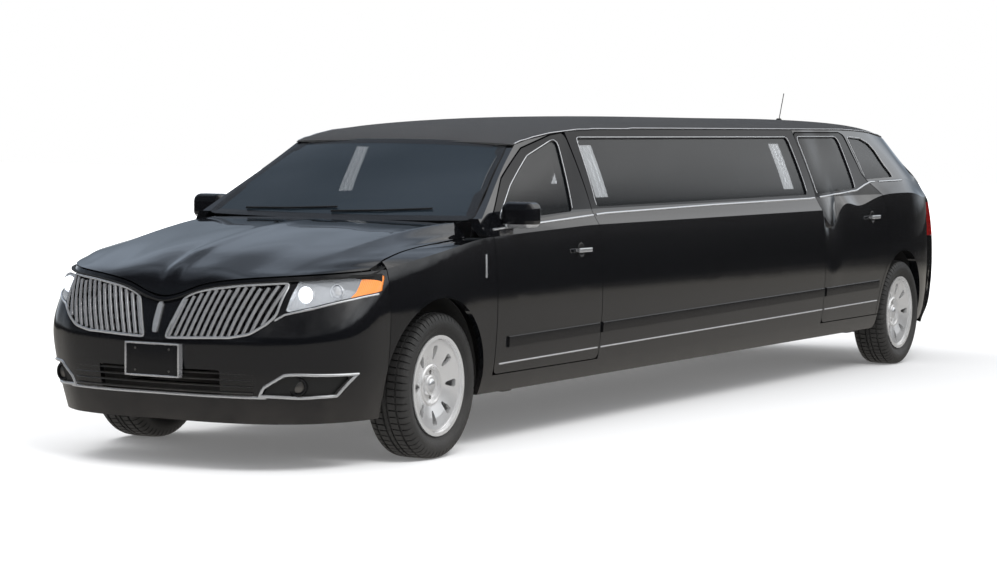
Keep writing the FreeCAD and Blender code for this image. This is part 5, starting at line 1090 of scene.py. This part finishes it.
for i in range(BENCH_COUNT):
    x = BENCH_FROM + step * (i + 0.5)
    made.append(cushion(f"bench_cushion_{i}", (x, -0.565, 0.515), (step - 0.01, 0.44, 0.13), channels=1))
    centre = Vector((x, 0, 0)) + BENCH_BACK
    made.append(cushion(f"bench_back_{i}", centre, (step - 0.01, 0.52, 0.10), channels=1, crown=0.015))
    upright = (Matrix.Translation(centre) @ Matrix.Rotation(-math.pi / 2, 4, "X")
               @ Matrix.Translation(-centre))
    for piece in made[-1]:
        piece.data.transform(upright)
base = rounded_box("bench_base", (BENCH_FROM, -0.818, FLOOR_Z), (BENCH_TO, -0.338, 0.452), 0.015,
        "plastic", "body")
for i, y in enumerate((-0.52, 0.0, 0.52)):
    made.append(cushion(f"rear_cushion_{i}", (-2.478, y, 0.555), (0.50, 0.51, 0.15)))
    made.append(cushion(f"rear_back_{i}", (-2.70, y, 0.81), (0.66, 0.51, 0.12), BACK_LEAN))
rounded_box("rear_base", (-2.7375, -0.777, FLOOR_Z), (-2.2175, 0.777, 0.485), 0.015, "plastic", "body")
rounded_box("cabinet", (-1.2775, 0.558, FLOOR_Z), (1.0645, 0.818, 0.98), 0.012, "wood", "body", 0.006)
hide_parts("seats")
print("padded pieces", len(made))

# %% [markdown]
# ## Floor and light
# The floor is a wide pale sheet. It glows faintly near the car, painted light that lifts the car's shadow on
# it, and it glows fully white far off. The sky is white to the camera. In reflections it is a soft studio:
# dark low down on the car's left, a bright ceiling above.

# %% Floor
FLOOR_REACH = 60.0
floor_mesh = bpy.data.meshes.new("floor")
corners = [(x * FLOOR_REACH, y * FLOOR_REACH, 0) for x, y in ((-1, -1), (1, -1), (1, 1), (-1, 1))]
floor_mesh.from_pydata(corners, [], [(0, 1, 2, 3)])
floor = bpy.data.objects.new("floor", floor_mesh)
bpy.context.scene.collection.objects.link(floor)
ground, tree, shader = material("floor", (0.80, 0.80, 0.80), 0.9, Specular_IOR_Level=0.1,
        Emission_Strength=1.0)
stain = node(tree, "ShaderNodeTexNoise", {"Vector": object_place(tree), "Scale": 0.3}).outputs[0]
stained = mix_colour(tree, stain, (0.79, 0.79, 0.79), (0.81, 0.81, 0.81))
plug(shader, "Base Color", stained)
far = node(tree, "ShaderNodeVectorMath", {0: object_place(tree)}, operation="LENGTH").outputs["Value"]
# Painted light: a faint glow near the car lightens its shadow, and from 16 m out the floor glows fully
# white.
fade = span(tree, far, 7.0, 16.0)
plug(shader, "Emission Color", ramp(tree, fade, [(0.0, 0.13), (1.0, 1.0)]))
reach = span(tree, far, 6.0, 26.0)
yard_colour = ramp(tree, reach, [(0.0, (0.26, 0.25, 0.235, 1)), (0.30, (0.24, 0.23, 0.21, 1)),
        (0.55, (0.06, 0.058, 0.055, 1)), (1.0, (0.02, 0.02, 0.02, 1))])
yard = node(tree, "ShaderNodeEmission", {"Color": yard_colour})
glossy = node(tree, "ShaderNodeLightPath").outputs["Is Glossy Ray"]
shown = node(tree, "ShaderNodeMixShader", {0: glossy, 1: shader.outputs[0], 2: yard.outputs[0]})
tree.links.new(shown.outputs[0], tree.nodes["Material Output"].inputs[0])
floor.data.materials.append(ground)


# %% [markdown]
# The studio is a sky in three parts: what the camera sees, what lights the car, and what shows in the
# paint. The last has a bright ceiling, a darker front and soft clouds.

# %% World
world = bpy.data.worlds.new("studio")
bpy.context.scene.world = world
world.use_nodes = True
tree = world.node_tree
tree.nodes.clear()
out = tree.nodes.new("ShaderNodeOutputWorld")
direction = node(tree, "ShaderNodeTexCoord").outputs["Generated"]
parts = node(tree, "ShaderNodeSeparateXYZ", {0: direction})
clouds = node(tree, "ShaderNodeTexNoise", {"Vector": direction, "Scale": 2.2, "Detail": 3.0}).outputs[0]
left_sky = ramp(tree, parts.outputs[2], [(0.0, (0.02, 0.02, 0.02, 1)), (0.125, (0.05, 0.05, 0.05, 1)),
        (0.19, (0.80, 0.83, 0.86, 1)), (0.4, (1.0, 1.0, 1.0, 1))])
right_sky = ramp(tree, parts.outputs[2], [(0.0, (0.10, 0.10, 0.10, 1)), (0.03, (0.60, 0.65, 0.70, 1)),
        (0.14, (0.22, 0.26, 0.31, 1)), (0.6, (0.26, 0.30, 0.36, 1))])
left = span(tree, parts.outputs[1], -0.15, 0.25)
sky = node(tree, "ShaderNodeMix", {0: left, 6: right_sky, 7: left_sky}, data_type="RGBA").outputs[2]
ahead = span(tree, parts.outputs[0], -0.35, 0.25, 1.0, 0.16)
drift = span(tree, clouds, 0.35, 0.65, 0.5, 1.5)
power = times(tree, ahead, drift)
mirror = node(tree, "ShaderNodeBackground", {"Color": sky, "Strength": power})
plain = node(tree, "ShaderNodeBackground", {"Color": (1, 1, 1, 1), "Strength": 1.0})
soft = node(tree, "ShaderNodeBackground", {"Color": (0.97, 0.98, 1, 1), "Strength": 1.0})
path = node(tree, "ShaderNodeLightPath").outputs
seen = node(tree, "ShaderNodeMixShader", {0: path["Is Glossy Ray"], 1: soft.outputs[0],
        2: mirror.outputs[0]})
final = node(tree, "ShaderNodeMixShader", {0: path["Is Camera Ray"], 1: seen.outputs[0],
        2: plain.outputs[0]})
tree.links.new(final.outputs[0], out.inputs[0])


# %% [markdown]
# Two large soft lamps give the shadow under the car. They don't show in reflections.

# %% Lamps


def area(name, place, target, size, power):
    data = bpy.data.lights.new(name, "AREA")
    data.shape = "RECTANGLE"
    data.size, data.size_y = size
    data.energy = power
    lamp = bpy.data.objects.new(name, data)
    bpy.context.scene.collection.objects.link(lamp)
    lamp.location = place
    lamp.visible_glossy = False
    lamp.rotation_mode = "QUATERNION"
    lamp.rotation_quaternion = (Vector(target) - Vector(place)).to_track_quat("-Z", "Y")
    return lamp


key = area("key", (6, 7, 9), (0, 0, 0.5), (7, 4), 900)
fill = area("fill", (0, -6, 8), (0, 0, 0.5), (10, 4), 500)
print("lamps", key.name, fill.name)
